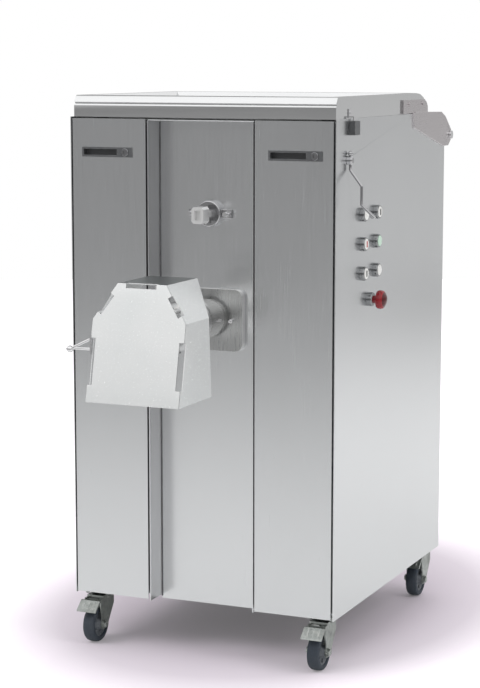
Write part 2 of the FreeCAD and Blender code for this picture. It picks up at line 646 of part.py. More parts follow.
# Grinding head: raised flange plate, one casting from neck to bell with the guard's lugs
flange_middle = "(worm_height - 4.5)"
flange = body_at("head_flange_plate", ("0", "0", flange_middle))
pad(flange, "XZ", [
    [(flip("flange_half"), "-flange_height / 2"), ("flange_half", "-flange_height / 2"), ("flange_half", "flange_height / 2"), (flip("flange_half"), "flange_height / 2")],
    ("0", "4.5", "neck_radius + 0.3"), ("-54", "0", "3.3"), ("54", "0", "3.3"),
], PLATE_FACE, RECESS)
doc.recompute()
corners = []
square_plate = flange.Tip
for index, edge in enumerate(square_plate.Shape.Edges, start=1):
    ends = [v.Point for v in edge.Vertexes]
    if len(ends) == 2 and abs(ends[0].x - ends[1].x) + abs(ends[0].z - ends[1].z) < 1e-6 and abs(ends[0].x) > 60:
        corners.append(f"Edge{index}")
rounding = flange.newObject("PartDesign::Fillet", "flange_corners")
rounding.Base = (square_plate, corners)
rounding.setExpression("Radius", ex("flange_corner"))
node("head_flange_plate", flange)

BELL_Y = f"({FRONT} - bell_front)"
casting = turned("head_casting", ("0", "0", "worm_height"), "Y", [
    (tub_y0, "worm_radius + 1"), (tub_y0, "neck_radius"), (f"{PLATE_FACE} - 17", "neck_radius"),
    (f"{PLATE_FACE} - 17", "collar_radius - 1"), (f"{PLATE_FACE} - 18", "collar_radius"), (f"{PLATE_FACE} - 68", "collar_radius"),
    (f"{PLATE_FACE} - 95", "bell_radius"), (f"{BELL_Y} + 26", "bell_radius"), (f"{BELL_Y} + 26", "bell_radius - 3"),
    (BELL_Y, "bell_radius - 3"), (BELL_Y, "plate_radius + 0.3"), (f"{BELL_Y} + plate_thickness", "plate_radius + 0.3"),
    (f"{BELL_Y} + plate_thickness", "plate_radius - 1"), (f"{BELL_Y} + 30", "plate_radius - 1"), (f"{BELL_Y} + 46", "worm_radius + 1"),
])
GUARD_Y = f"({FRONT} - guard_pivot_y)"
lugs = []
for low, high in (("18", "24"), ("-24", "-18")):
    post = block("lug_post", (low, high), (f"{GUARD_Y} - 12", f"{GUARD_Y} + 12"), ("worm_height + bell_radius - 12", "guard_pivot_z"))
    eye = rod("lug_eye", "X", (low, GUARD_Y, "guard_pivot_z"), "9", "6")
    lugs += [post, eye]
guard_pin = rod("guard_pin", "X", ("-33", GUARD_Y, "guard_pivot_z"), "4", "66")
body_fuse = fuse("head_body", [casting] + lugs)
core = rod("head_core", "Y", ("0", f"{BELL_Y} + 30", "worm_height"), "worm_radius + 1", f"{tub_y0} - {BELL_Y} - 30")
node("grinder_head", fuse("grinder_head", [cut("head_cored", body_fuse, [core]), guard_pin]))

PLATE_Y0, PLATE_Y1 = BELL_Y, f"({BELL_Y} + plate_thickness)"
pattern = [("0", "0", "7.5 + running_gap")]
for ring_radius, count in ((15, 8), (25, 13), (34, 18)):
    for step in range(count):
        angle = 2 * math.pi * step / count
        pattern.append((f"{ring_radius * math.cos(angle):.4f}", f"{ring_radius * math.sin(angle):.4f}", "2.9"))
plate_disc = pad(body_at("mincer_plate", ("0", "0", "worm_height")), "XZ", [("0", "0", "plate_radius")] + pattern, PLATE_Y0, PLATE_Y1)
node("mincer_plate", plate_disc)

blade_loop = []
for step in range(4):
    for angle, radius in ((-38, "13.5"), (-14, "(plate_radius - 3)"), (8, "(plate_radius - 3)"), (14, "13.5")):
        turn = math.radians(90 * step + angle)
        blade_loop.append((f"{math.cos(turn):.4f} * {radius}", f"{math.sin(turn):.4f} * {radius}"))
square = [("-6.1", "-6.1"), ("6.1", "-6.1"), ("6.1", "6.1"), ("-6.1", "6.1")]
knife = pad(body_at("knife", ("0", "0", "worm_height")), "XZ", [blade_loop, square], f"{PLATE_Y1} + 0.3", f"{PLATE_Y1} + 9")
node("knife", knife)

nut = turned("nut_ring", ("0", "0", "worm_height"), "Y", [
    (f"{BELL_Y} - 9", "36"), (f"{BELL_Y} - 9", "nut_radius - 3"), (f"{BELL_Y} - 6", "nut_radius"), (f"{BELL_Y} + 20", "nut_radius"),
    (f"{BELL_Y} + 20", "bell_radius - 3 + running_gap"), (f"{BELL_Y} - 0.3", "bell_radius - 3 + running_gap"), (f"{BELL_Y} - 0.3", "36"),
])
lobes = []
for step in range(4):
    angle = math.radians(45 + 90 * step)
    x, z = math.cos(angle), math.sin(angle)
    lobes.append(rod("nut_lobe", "Y", (f"{x:.4f} * (nut_radius - 1)", f"{BELL_Y} - 5", f"worm_height + {z:.4f} * (nut_radius - 1)"), "8", "22"))
node("ring_nut", fuse("ring_nut", [nut] + lobes))


# Feed worm: plain shaft with a screw flight built turn by turn out of flat facets
def flight_shape(y0, y1, inner, outer, pitch, thick, steps=12):
    """Closed screw flight about +Y from y0 to y1."""
    count = int(round((y1 - y0) / pitch * steps))
    rings = []
    for i in range(count + 1):
        y = y0 + (y1 - y0) * i / count
        a = 2 * math.pi * i / steps
        ring = []
        for radius, shift in ((inner, -thick / 2), (outer, -thick / 3), (outer, thick / 3), (inner, thick / 2)):
            ring.append(Vector(radius * math.cos(a), y + shift, radius * math.sin(a)))
        rings.append(ring)
    faces = []
    for lower, upper in zip(rings, rings[1:]):
        for k in range(4):
            n = (k + 1) % 4
            faces.append(Part.Face(Part.makePolygon([lower[k], lower[n], upper[n], lower[k]])))
            faces.append(Part.Face(Part.makePolygon([lower[k], upper[n], upper[k], lower[k]])))
    for ring in (rings[0], rings[-1]):
        faces.append(Part.Face(Part.makePolygon([ring[0], ring[1], ring[2], ring[0]])))
        faces.append(Part.Face(Part.makePolygon([ring[0], ring[2], ring[3], ring[0]])))
    solid = Part.Solid(Part.Shell(faces))
    if solid.Volume < 0:
        solid.reverse()
    return solid


flight = doc.addObject("Part::Feature", "worm_flight")
flight_ends = (num(f"{BELL_Y} + 60"), num(f"{TUB_Y1} - 8"))
flight.Shape = flight_shape(*flight_ends, num("worm_shaft + 0.2"), num("worm_radius"), num("worm_pitch"), 7)
place(flight, ("0", "0", "worm_height"))
worm_core = turned("worm_core", ("0", "0", "worm_height"), "Y", [
    (f"{BELL_Y} + 2", "0"), (f"{BELL_Y} + 2", "7.5"), (PLATE_Y1, "7.5"), (PLATE_Y1, "5.8"), (f"{PLATE_Y1} + 9.3", "5.8"),
    (f"{PLATE_Y1} + 9.3", "worm_shaft + 6"), (f"{BELL_Y} + 50", "worm_shaft"), (f"{BULKHEAD} + 60", "worm_shaft"), (f"{BULKHEAD} + 60", "0"),
])
tang = block("worm_tang", ("-5.8", "5.8"), (f"{PLATE_Y1} + 0.2", f"{PLATE_Y1} + 9.4"), ("worm_height - 5.8", "worm_height + 5.8"))
node("feed_worm", group("feed_worm", [fuse("worm_shaft_solid", [worm_core, tang]), flight]))


# Guard over the outlet: folded hood open to the rear and below, a leaning front plate joined
# by tabs between long slots, two ears on the pivot pin and a bent handle
def lean(z, back="0"):
    """Y of the guard's leaning front at height z."""
    return f"({FRONT} - guard_front - guard_lean * (guard_top - {z}) / (guard_top - guard_base) + {back})"


def hood(name, inset, y0, y1):
    """Solid under the folded outline, drawn in by inset."""
    half, shoulder = f"(guard_half - {inset})", f"(guard_shoulder - {inset} * 0.55)"
    return prism(name, "XZ", [[
        (flip(half), "guard_base"), (flip(half), f"guard_bend - {inset} * 0.3"), (flip(shoulder), f"guard_top - {inset}"),
        (shoulder, f"guard_top - {inset}"), (half, f"guard_bend - {inset} * 0.3"), (half, "guard_base"),
    ]], y0, y1)


deep_front, deep_rear = f"({FRONT} - 340)", f"({FRONT} - 100)"
side_view = prism("guard_side_view", "YZ", [[
    (lean("guard_base", "2.05"), "guard_base"), (f"{FRONT} - 167", "guard_base"), (f"{FRONT} - 178", "guard_bend"),
    (f"{FRONT} - 128", "guard_top"), (lean("guard_top", "2.05"), "guard_top"),
]], flip("guard_half + 20"), "guard_half + 20")
hollow_hood = hood("hood_hollow", "guard_sheet", f"{deep_front} - 5", f"{deep_rear} + 5")
folded = cut("hood_folded", common("hood_trimmed", hood("hood_solid", "0", deep_front, deep_rear), side_view), [hollow_hood])
front_strip = prism("guard_front_strip", "YZ", [[
    (lean("guard_base"), "guard_base"), (lean("guard_base", "2.05"), "guard_base"), (lean("guard_top", "2.05"), "guard_top"),
    (lean("guard_top"), "guard_top"),
]], flip("guard_half + 20"), "guard_half + 20")
front_flat = common("guard_front_flat", front_strip, hood("hood_front", "0", deep_front, deep_rear))


def guard_slots(prefix):
    """Tools for the top, shoulder and side slots along the front edge."""
    tools = [block(prefix + "_top", ("-34", "32"), (deep_front, lean("guard_top", "11")), ("guard_top - slot_width", "guard_top + 2"))]
    low, high = "(guard_base + 33)", "(guard_bend - 35.5)"
    side_cut = [(deep_front, low), (lean(low, "10"), low), (lean(high, "10"), high), (deep_front, high)]
    for inner, outer in (("guard_half - slot_width - 1", "guard_half + 2"), ("-guard_half - 2", "slot_width + 1 - guard_half")):
        tools.append(prism(prefix + "_side", "YZ", [side_cut], inner, outer))
    for mirror in (1, -1):
        band = [("guard_shoulder + 15.5", "guard_top - 18"), ("guard_half - 7.5", "guard_bend + 17"),
                ("guard_half - 17.5", "guard_bend + 10"), ("guard_shoulder + 5.5", "guard_top - 25")]
        if mirror < 0:
            band = [(flip(x), z) for x, z in band]
        tools.append(prism(prefix + "_shoulder", "XZ", [band], deep_front, lean("guard_top", "2")))
    return tools


ear_pieces = []
for low, high in (("25", "29"), ("-29", "-25")):
    strap = block("guard_strap", (low, high), (f"{GUARD_Y} - 9", f"{GUARD_Y} + 9"), ("guard_pivot_z", "guard_top - guard_sheet"))
    eye = rod("guard_eye", "X", (low, GUARD_Y, "guard_pivot_z"), "9", "4")
    hole = rod("guard_hole", "X", (f"{low} - 1", GUARD_Y, "guard_pivot_z"), "4 + running_gap", "6")
    ear_pieces.append(cut("guard_ear", fuse("guard_ear_plate", [strap, eye]), [hole]))
node("guard_shell", fuse("guard_shell", [cut("hood_slotted", folded, guard_slots("shell_slot"))] + ear_pieces))
node("guard_front_plate", cut("guard_front_plate", front_flat, guard_slots("plate_slot")))

HANDLE_Y = f"({FRONT} - 290)"
tip = ("(-guard_half - handle_reach)", "(worm_height - 31)")
pad_plate = block("handle_foot", ("-guard_half - 3", "-guard_half"), (f"{HANDLE_Y} - 5", f"{HANDLE_Y} + 9"), ("worm_height - 37.5", "worm_height + 0.5"))
upper_rod = strut("handle_upper", ("-guard_half - 2", HANDLE_Y, "worm_height - 8.5"), (tip[0], HANDLE_Y, tip[1]), "3")
lower_rod = rod("handle_lower", "X", (tip[0], HANDLE_Y, "worm_height - 28.5"), "3", "handle_reach - 2")
knob = turned("handle_ball", (tip[0], HANDLE_Y, tip[1]), "X", [
    ("-7.5", "0"), ("-7", "3"), ("-5", "5.7"), ("-2", "7.3"), ("2", "7.3"), ("5", "5.7"), ("7", "3"), ("7.5", "0"),
])
node("guard_handle", fuse("guard_handle", [pad_plate, upper_rod, lower_rod, knob]))

# Bolts seen on the front: two on the bearing's ears, two through the flange plate
bolts = []
for x in ("-41", "41"):
    bolts.append(fuse("bearing_bolt", [
        rod("bolt_shank", "Y", (x, f"{RECESS} - 18", "paddle_height"), "3", "18"),
        rod("bolt_head", "Y", (x, f"{RECESS} - 24", "paddle_height"), "5", "7"),
        rod("bolt_washer", "Y", (x, f"{RECESS} - 7.5", "paddle_height"), "7", "2.5"),
    ]))
for x in ("-54", "54"):
    bolts.append(fuse("clamp_bolt", [
        rod("clamp_shank", "Y", (x, f"{PLATE_FACE} - 1", flange_middle), "3", "flange_thickness + 1"),
        rod("clamp_head", "Y", (x, f"{PLATE_FACE} - 9", flange_middle), "4.5", "9"),
        rod("clamp_stud", "Y", (x, f"{PLATE_FACE} - 16", flange_middle), "2.5", "8"),
    ]))
node("front_bolts", group("front_bolts", bolts))


# Lid: pressed sheet with a bevelled nose on three sides, rounded rear end and a shallow tray
def nose(edge, inward, inset):
    """Edge profile from skirt to rim; inward is +1 or -1 along the axis."""
    steps = (("0", "0"), ("0", "23.5"), ("2", "27"), ("4.5", "28"), ("4.5", "30"), ("0", "31"), ("8.5", "42.5"), ("11.5", "lid_height"))
    hidden = (("2", "-5"), ("2", "22.5"), ("6.5", "27"), ("6.5", "31"), ("11", "41"), ("13", "lid_height - 2"))
    pairs = hidden if inset else steps
    sign = "+" if inward > 0 else "-"
    return [(f"({edge} {sign} {u})", f"(seam_height + {v})") for u, v in pairs]


def lid_block(name, inset):
    """Lid outline or its hollow: side view crossed with front view."""
    low = "seam_height - 5" if inset else "seam_height"
    d = "2" if inset else "0"
    tail = [(f"{LID_Y1} - 72", f"{LID_TOP} - {d}"), (f"{LID_Y1} - 45", f"{LID_TOP} - 2.5 - {d}"), (f"{LID_Y1} - 22 - {d} / 2", f"{LID_TOP} - 10 - {d}"),
            (f"{LID_Y1} - 8 - {d}", f"{LID_TOP} - 19 - {d} / 2"), (f"{LID_Y1} - 1 - {d}", f"{LID_TOP} - 29"), (f"{LID_Y1} - {d}", f"{LID_TOP} - 37"),
            (f"{LID_Y1} - 3 - {d}", low)]
    side = prism(name + "_side", "YZ", [nose(LID_Y0, 1, inset) + tail], flip(SIDE), SIDE)
    right_edge = nose("lid_half", -1, inset)
    left_edge = [(flip(x), z) for x, z in reversed(right_edge)]
    across = prism(name + "_across", "XZ", [right_edge + left_edge], FRONT, f"{LID_Y1} + 20")
    return common(name, side, across)


def tray(name, grow, top):
    """Tray recess, grown by a sheet thickness for the hollow below it."""
    g = f"({grow})"
    return block(name, (f"-tray_half - {g}", f"tray_half + {g}"), (f"{LID_Y0} + 22.5 - {g}", f"{LID_Y1} - 98 + {g}"),
                 (f"{LID_TOP} - tray_depth - {g}", top))


inside = cut("lid_inside", lid_block("lid_hollow", True), [tray("lid_tray_skin", "skin", LID_TOP)])
node("lid_shell", cut("lid_shell", lid_block("lid_outer", False), [tray("lid_tray", "0", f"{LID_TOP} + 2"), inside]))

ARM = [
    (f"{HINGE_Y} - 324.5", "seam_height + 1.5"), (f"{HINGE_Y} - 324.5", "seam_height + 31"), (f"{LID_Y1} - 25", "seam_height + 31"), (f"{LID_Y1} - 10", "seam_height + 24"),
    (f"{LID_Y1} - 2", "seam_height + 15"), (f"{LID_Y1} - 1", "seam_height + 2"), (f"{HINGE_Y} - 64.5", "seam_height - 5.5"), (f"{HINGE_Y} - 31.5", "hinge_height + 35"),
    (f"{HINGE_Y} + 9", "hinge_height + 13"), (f"{HINGE_Y} + 15", "hinge_height"), (f"{HINGE_Y} + 9", "hinge_height - 11"), (f"{HINGE_Y}", "hinge_height - 14.5"),
    (f"{HINGE_Y} - 13", "hinge_height - 8"), (f"{HINGE_Y} - 43.5", "hinge_height - 3"), (f"{HINGE_Y} - 233.5", "hinge_height + 44.5"),
    (f"{HINGE_Y} - 262", "seam_height + 1.5"),
]
arms = []
for low, high in (("lid_half", "lid_half + arm_thickness"), ("-lid_half - arm_thickness", "-lid_half")):
    arm = prism("arm_plate", "YZ", [ARM, (HINGE_Y, "hinge_height", "shaft_radius + running_gap")], low, high)
    start = "lid_half + arm_thickness" if low == "lid_half" else "-lid_half - arm_thickness - 2.5"
    studs = [rod("arm_bolt", "X", (start, y, "seam_height + 21.5"), "5", "2.5") for y in (f"{HINGE_Y} - 287", f"{HINGE_Y} - 193.5")]
    arms.append(fuse("lid_arm", [arm] + studs))
node("lid_arms", group("lid_arms", arms))

CHEEK = [
    (f"{HINGE_Y} - 265.5", "seam_height + 1"), (f"{HINGE_Y} - 257.5", "hinge_height + 23.5"),
    (f"{HINGE_Y} - 46.5", "hinge_height - 24.5"), (f"{HINGE_Y} - 11.5", "hinge_height - 24.5"),
    (f"{HINGE_Y} + 10.5", "hinge_height - 9.5"), (f"{HINGE_Y} + 9.5", "hinge_height + 11.5"), (f"{HINGE_Y} - 33.5", "hinge_height + 43"),
    (f"{HINGE_Y} - 64.5", "hinge_height + 54.5"), (f"{HINGE_Y} - 238.5", "seam_height + 4"),
]
outer_plates = []
for low in (SIDE, f"-cabinet_width / 2 - cheek_thickness"):
    outer_plates.append(prism("hinge_cheek", "YZ", [CHEEK, (HINGE_Y, "hinge_height", "shaft_radius + running_gap")], low, f"{low} + cheek_thickness"))
node("hinge_plates", group("hinge_plates", outer_plates))
END = f"({SIDE} + cheek_thickness + 5)"
node("hinge_shaft", fuse("hinge_shaft", [
    rod("shaft_bar", "X", (flip(END), HINGE_Y, "hinge_height"), "shaft_radius", f"2 * {END}"),
    rod("shaft_nut", "X", (f"{END} - 4.7", HINGE_Y, "hinge_height"), "9.5", "4.7"),
    rod("shaft_cap", "X", (flip(END), HINGE_Y, "hinge_height"), "9.5", "4.7"),
]))


# Lid switch: sealed box on the right side with a slot, and the key that drops into it
box_y = ("(75 - cabinet_depth / 2)", "(105 - cabinet_depth / 2)")
switch = block("switch_box", (SIDE, f"{SIDE} + 12"), box_y, ("seam_height - 33", "seam_height - 4"))
slot = block("switch_slot", (f"{SIDE} + 3", f"{SIDE} + 8"), ("(80 - cabinet_depth / 2)", "(98 - cabinet_depth / 2)"), ("seam_height - 19", "seam_height"))
node("interlock_switch", cut("interlock_switch", switch, [slot]))
key_y = (f"{box_y[0]} + 2", f"{box_y[0]} + 26")
node("interlock_key", fuse("interlock_key", [
    block("key_plate", ("lid_half", "lid_half + 2"), key_y, ("seam_height + 2", "seam_height + 20")),
    block("key_shelf", ("lid_half + 2", f"{SIDE} + 6.5"), (f"{box_y[0]} + 7", f"{box_y[0]} + 19"), ("seam_height + 3", "seam_height + 5")),
    block("key_tongue", (f"{SIDE} + 4.5", f"{SIDE} + 6.5"), (f"{box_y[0]} + 7", f"{box_y[0]} + 17"), ("seam_height - 14", "seam_height + 5")),
    rod("key_screw", "X", ("lid_half + 2", f"{box_y[0]} + 8", "seam_height + 13"), "3", "2"),
]))


# Doors: sheet pans with a return frame and pivot pins, a flush pull and a turning lock each
def door(name, x0, pull_x):
    """Door with its pull and lock; x0 is the pivot edge, pull_x the pull's left end."""
    x1 = f"({x0} + door_width)"
    sheet = pad(body_at(name + "_sheet"), "XZ", [
        [(x0, DOOR_BASE), (x1, DOOR_BASE), (x1, DOOR_TOP), (x0, DOOR_TOP)],
        [(f"{pull_x} + 2", "pull_level - pull_height / 2 + 2"), (f"{pull_x} + pull_width - 2", "pull_level - pull_height / 2 + 2"),
         (f"{pull_x} + pull_width - 2", "pull_level + pull_height / 2 - 2"), (f"{pull_x} + 2", "pull_level + pull_height / 2 - 2")],
    ], FRONT, f"{FRONT} + door_wall")
    low, high = f"{DOOR_BASE} + 11", f"{DOOR_TOP} - 11"
    back = f"{FRONT} + door_depth"
    ring = cut(name + "_frame",
               block(name + "_frame_outer", (x0, x1), (f"{FRONT} + door_wall", back), (low, high)),
               [block(name + "_frame_inner", (f"{x0} + door_wall", f"{x1} - door_wall"), (f"{FRONT} + 1", f"{back} + 1"), (f"{low} + door_wall", f"{high} - door_wall"))])
    pivot = f"({x0} + pivot_inset)"
    pins = [rod(name + "_pin", "Z", (pivot, PIVOT_Y, z), "pivot_radius", "8") for z in (high, f"{low} - 8")]
    node(name, fuse(name, [sheet, ring] + pins))

    lock_x = f"({pull_x} + pull_width - 17)"
    z_low, z_high = "pull_level - pull_height / 2", "pull_level + pull_height / 2"
    rim = block(name + "_pull_rim", (pull_x, f"{pull_x} + pull_width"), (f"{FRONT} - 1.5", FRONT), (z_low, z_high))
    cup = block(name + "_pull_cup", (f"{pull_x} + 2.2", f"{pull_x} + pull_width - 2.2"), (FRONT, f"{FRONT} + 16"), (f"{z_low} + 2.2", f"{z_high} - 2.2"))
    hollow_cup = block(name + "_pull_hollow", (f"{pull_x} + 4", f"{pull_x} + pull_width - 36"), (f"{FRONT} - 2", f"{FRONT} + 14"), (f"{z_low} + 4", f"{z_high} - 4"))
    barrel_bore = rod(name + "_pull_bore", "Y", (lock_x, f"{FRONT} - 2", "pull_level"), "lock_radius + running_gap", "20")
    node(name + "_pull", cut(name + "_pull", fuse(name + "_pull_body", [rim, cup]), [hollow_cup, barrel_bore]))

    barrel = turned(name + "_lock_barrel", (lock_x, "0", "pull_level"), "Y", [
        (f"{FRONT} - 3.5", "0"), (f"{FRONT} - 3.5", "7.6"), (f"{FRONT} - 2.8", "8.4"), (f"{FRONT} - 1.8", "8.4"), (f"{FRONT} - 1.8", "lock_radius"),
        (f"{FRONT} + 32", "lock_radius"), (f"{FRONT} + 32", "0"),
    ])
    key_hole = pad(body_at(name + "_key_hole", (lock_x, "0", "pull_level")), "XZ", [[("-2.6", "-3"), ("3.4", "0"), ("-2.6", "3")]], f"{FRONT} - 5", f"{FRONT} - 1.8")
    tongue = block(name + "_tongue", (f"{lock_x} - 6", f"{lock_x} + 6"), (f"{FRONT} + 29", f"{FRONT} + 32"), ("pull_level - 40", "pull_level"))
    node(name + "_lock", cut(name + "_lock", fuse(name + "_lock_body", [barrel, tongue]), [key_hole]))


LEFT_DOOR = f"({flip(INNER)} + door_gap)"
RIGHT_DOOR = f"({WALL} + door_gap)"
door("left_door", LEFT_DOOR, f"({LEFT_DOOR} + left_pull_offset)")
door("right_door", RIGHT_DOOR, f"({RIGHT_DOOR} + right_pull_offset)")


# Push buttons: ringed bezels through the side panel, six plungers and a mushroom stop button
bezels = []
colours = iter(("white_a", "red", "white_b", "black_bar", "green", "white_c"))
for y in BUTTON_COLUMNS:
    for z in BUTTON_ROWS:
        bezels.append(turned("bezel", ("0", y, z), "X", [
            (f"{SIDE} - 18", "5 + running_gap"), (f"{SIDE} + 2", "5 + running_gap"), (f"{SIDE} + 2", "button_radius + 0.4"),
            (f"{SIDE} + bezel_depth", "button_radius + 0.4"), (f"{SIDE} + bezel_depth", "bezel_radius - 1.5"),
            (f"{SIDE} + bezel_depth - 3", "bezel_radius"), (SIDE, "bezel_radius"), (SIDE, "bezel_radius - 4.3"), (f"{SIDE} - 18", "bezel_radius - 4.3"),
        ]))
        node("button_" + next(colours), turned("plunger", ("0", y, z), "X", [
            (f"{SIDE} - 20", "0"), (f"{SIDE} - 20", "5"), (f"{SIDE} + 6", "5"), (f"{SIDE} + 6", "button_radius"),
            (f"{SIDE} + bezel_depth + 0.5", "button_radius"), (f"{SIDE} + bezel_depth + 1.5", "button_radius - 1.5"), (f"{SIDE} + bezel_depth + 1.5", "0"),
        ]))
stop_y, stop_z = STOP_BUTTON
bezels.append(turned("stop_base", ("0", stop_y, stop_z), "X", [
    (f"{SIDE} - 18", "8 + running_gap"), (f"{SIDE} + 12", "8 + running_gap"), (f"{SIDE} + 12", "bezel_radius - 1"), (f"{SIDE} + 10", "bezel_radius"),
    (SIDE, "bezel_radius"), (SIDE, "bezel_radius - 4.3"), (f"{SIDE} - 18", "bezel_radius - 4.3"),
]))
node("control_bezels", group("control_bezels", bezels))
node("stop_mushroom", turned("stop_mushroom", ("0", stop_y, stop_z), "X", [
    (f"{SIDE} - 22", "0"), (f"{SIDE} - 22", "8"), (f"{SIDE} + 21", "8"), (f"{SIDE} + 22", "mushroom_radius - 2"), (f"{SIDE} + 27", "mushroom_radius"),
    (f"{SIDE} + 33", "mushroom_radius - 1"), (f"{SIDE} + 38", "mushroom_radius - 6"), (f"{SIDE} + 41", "mushroom_radius - 12"), (f"{SIDE} + 42", "0"),
]))


# Hand lever: cranked bar hanging from a short shaft through the right side panel
lever_hub = turned("lever_hub", ("0", LEVER_Y, "lever_height"), "X", [
    (f"{INNER} - 8", "0"), (f"{INNER} - 8", "8.5"), (f"{INNER} - 0.3", "8.5"), (f"{INNER} - 0.3", "shaft_radius"), (f"{SIDE} + 0.3", "shaft_radius"),
    (f"{SIDE} + 0.3", "9"), (f"{SIDE} + 9", "9"), (f"{SIDE} + 12", "6"), (f"{SIDE} + 12", "0"),
])
lever_bar = bent("lever_bar", [
    (f"{SIDE} + 6.2", "lever_height + 14"), (f"{SIDE} + 6.2", "lever_height - 20"), (f"{SIDE} + 31", "lever_height - 52"),
    (f"{SIDE} + 31", "lever_height - 90"), (f"{SIDE} + 60", "lever_height - 115"),
], LEVER_Y, "lever_rod")
lever_knob = ball("lever_knob", (f"{SIDE} + 6.2", LEVER_Y, "lever_height + 14"), "5.5")
node("hand_lever", fuse("hand_lever", [lever_hub, lever_bar, lever_knob]))


# Drives and control box behind the tub
worm_box = cut("worm_gearbox", block("worm_gearbox_case", (flip("gearbox_half"), "gearbox_half"), (f"{BULKHEAD} + 6", f"{BULKHEAD} + 106"), ("worm_height - 75", "worm_height + 75")),
               [rod("worm_gearbox_bore", "Y", ("0", f"{BULKHEAD} + 5", "worm_height"), "worm_shaft + running_gap", "70")])
node("auger_gearmotor", fuse("auger_gearmotor", [
    worm_box,
    rod("auger_motor", "Z", ("0", f"{BULKHEAD} + 6 + motor_radius", "worm_height - 320"), "motor_radius", "245"),
    rod("auger_cowl", "Z", ("0", f"{BULKHEAD} + 6 + motor_radius", "worm_height - 350"), "motor_radius - 6", "30"),
    block("auger_terminals", ("motor_radius - 20", "motor_radius + 28"), (f"{BULKHEAD} + 46", f"{BULKHEAD} + 106"), ("worm_height - 230", "worm_height - 140")),
]))
paddle_box = cut("paddle_gearbox", block("paddle_gearbox_case", ("-55", "55"), (f"{BULKHEAD} + 6", f"{BULKHEAD} + 90"), ("paddle_height - 52", "paddle_height + 52")),
                 [rod("paddle_gearbox_bore", "Y", ("0", f"{BULKHEAD} + 5", "paddle_height"), "paddle_shaft + running_gap", "70")])
node("paddle_gearmotor", fuse("paddle_gearmotor", [
    paddle_box,
    rod("paddle_motor", "X", ("-225", f"{BULKHEAD} + 58", "paddle_height"), "48", "170"),
    rod("paddle_cowl", "X", ("-252", f"{BULKHEAD} + 58", "paddle_height"), "44", "27"),
]))
box_z = ("worm_height - 425.5", "worm_height - 165.5")
case = block("control_case", (f"{flip(INNER)} + 28", f"{flip(INNER)} + 168"), (f"{BULKHEAD} + 6", f"{BULKHEAD} + 116"), box_z)
cover = block("control_cover", (f"{flip(INNER)} + 24", f"{flip(INNER)} + 172"), (f"{BULKHEAD} + 116", f"{BULKHEAD} + 120"), (f"{box_z[0]} - 4", f"{box_z[1]} + 4"))
node("control_box", fuse("control_box", [case, cover]))

# Rebuild, test every feature and write one STEP per node
doc.recompute()
for obj in doc.Objects:
    if "Invalid" in obj.State or "Error" in obj.State:
        raise RuntimeError(f"{obj.Name} is {obj.State}")
for name, obj in NODES.items():
    shape = obj.Shape
    if shape.isNull() or not shape.isValid() or not shape.Solids:
        raise RuntimeError(f"{name} has no valid solid")
    shape.exportStep(f"parts/{name}.step")
    print(f"{name:32s} solids {len(shape.Solids)} volume {shape.Volume / 1000:.1f} cm3")
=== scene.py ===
import json
import math

import bmesh
import bpy
from mathutils import Matrix, Vector


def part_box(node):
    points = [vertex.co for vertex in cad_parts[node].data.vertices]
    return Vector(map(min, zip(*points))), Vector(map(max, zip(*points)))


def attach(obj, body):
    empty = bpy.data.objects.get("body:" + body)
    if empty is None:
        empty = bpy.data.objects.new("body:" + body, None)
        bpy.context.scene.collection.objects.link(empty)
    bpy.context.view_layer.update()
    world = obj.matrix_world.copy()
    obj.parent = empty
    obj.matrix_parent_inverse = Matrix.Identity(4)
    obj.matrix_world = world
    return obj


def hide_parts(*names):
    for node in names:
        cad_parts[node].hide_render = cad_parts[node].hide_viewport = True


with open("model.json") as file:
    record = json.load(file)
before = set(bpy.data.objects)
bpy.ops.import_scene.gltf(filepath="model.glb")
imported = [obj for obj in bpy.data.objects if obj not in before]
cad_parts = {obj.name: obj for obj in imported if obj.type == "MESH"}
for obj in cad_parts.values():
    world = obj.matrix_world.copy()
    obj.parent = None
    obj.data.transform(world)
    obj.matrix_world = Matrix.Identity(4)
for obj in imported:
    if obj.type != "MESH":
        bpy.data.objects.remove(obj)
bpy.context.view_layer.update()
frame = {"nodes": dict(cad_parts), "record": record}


# The studio: the camera stands where the photograph was taken from, a little to the right of
# the front and just above the lid. Three soft boxes light a pale round floor, and the walls
# that polished steel shows are grey at eye level and pale above.

def clear():
    """Object mode with nothing selected."""
    if bpy.context.mode != "OBJECT":
        bpy.ops.object.mode_set(mode="OBJECT")
    bpy.ops.object.select_all(action="DESELECT")


CAMERA_PLACE = (1.7021, -4.0580, 1.2659)
CAMERA_TURN = (81.744, 0, 23.511)
SENSOR_WIDTH, FOCAL_LENGTH = 36, 103.44
LAMP_AIM = (0, 0, 0.6)
LAMPS = (((-2.2, -2.6, 3.4), 2.4, 70), ((3.2, -0.6, 3.0), 2.2, 45), ((0.3, 3.2, 3.6), 2.6, 50))

scene = bpy.context.scene
scene.view_settings.view_transform = "Standard"
clear()
bpy.ops.object.camera_add(location=CAMERA_PLACE, rotation=[math.radians(turn) for turn in CAMERA_TURN])
camera = bpy.context.object
camera.data.sensor_width = SENSOR_WIDTH
camera.data.lens = FOCAL_LENGTH
scene.camera = camera

for spot, size, energy in LAMPS:
    bpy.ops.object.light_add(type="AREA", location=spot)
    lamp = bpy.context.object
    lamp.data.size = size
    lamp.data.energy = energy
    lamp.rotation_euler = (Vector(LAMP_AIM) - Vector(spot)).to_track_quat("-Z", "Y").to_euler()
    lamp.visible_glossy = False


def link(tree, start, end):
    """Join two sockets."""
    tree.links.new(start, end)


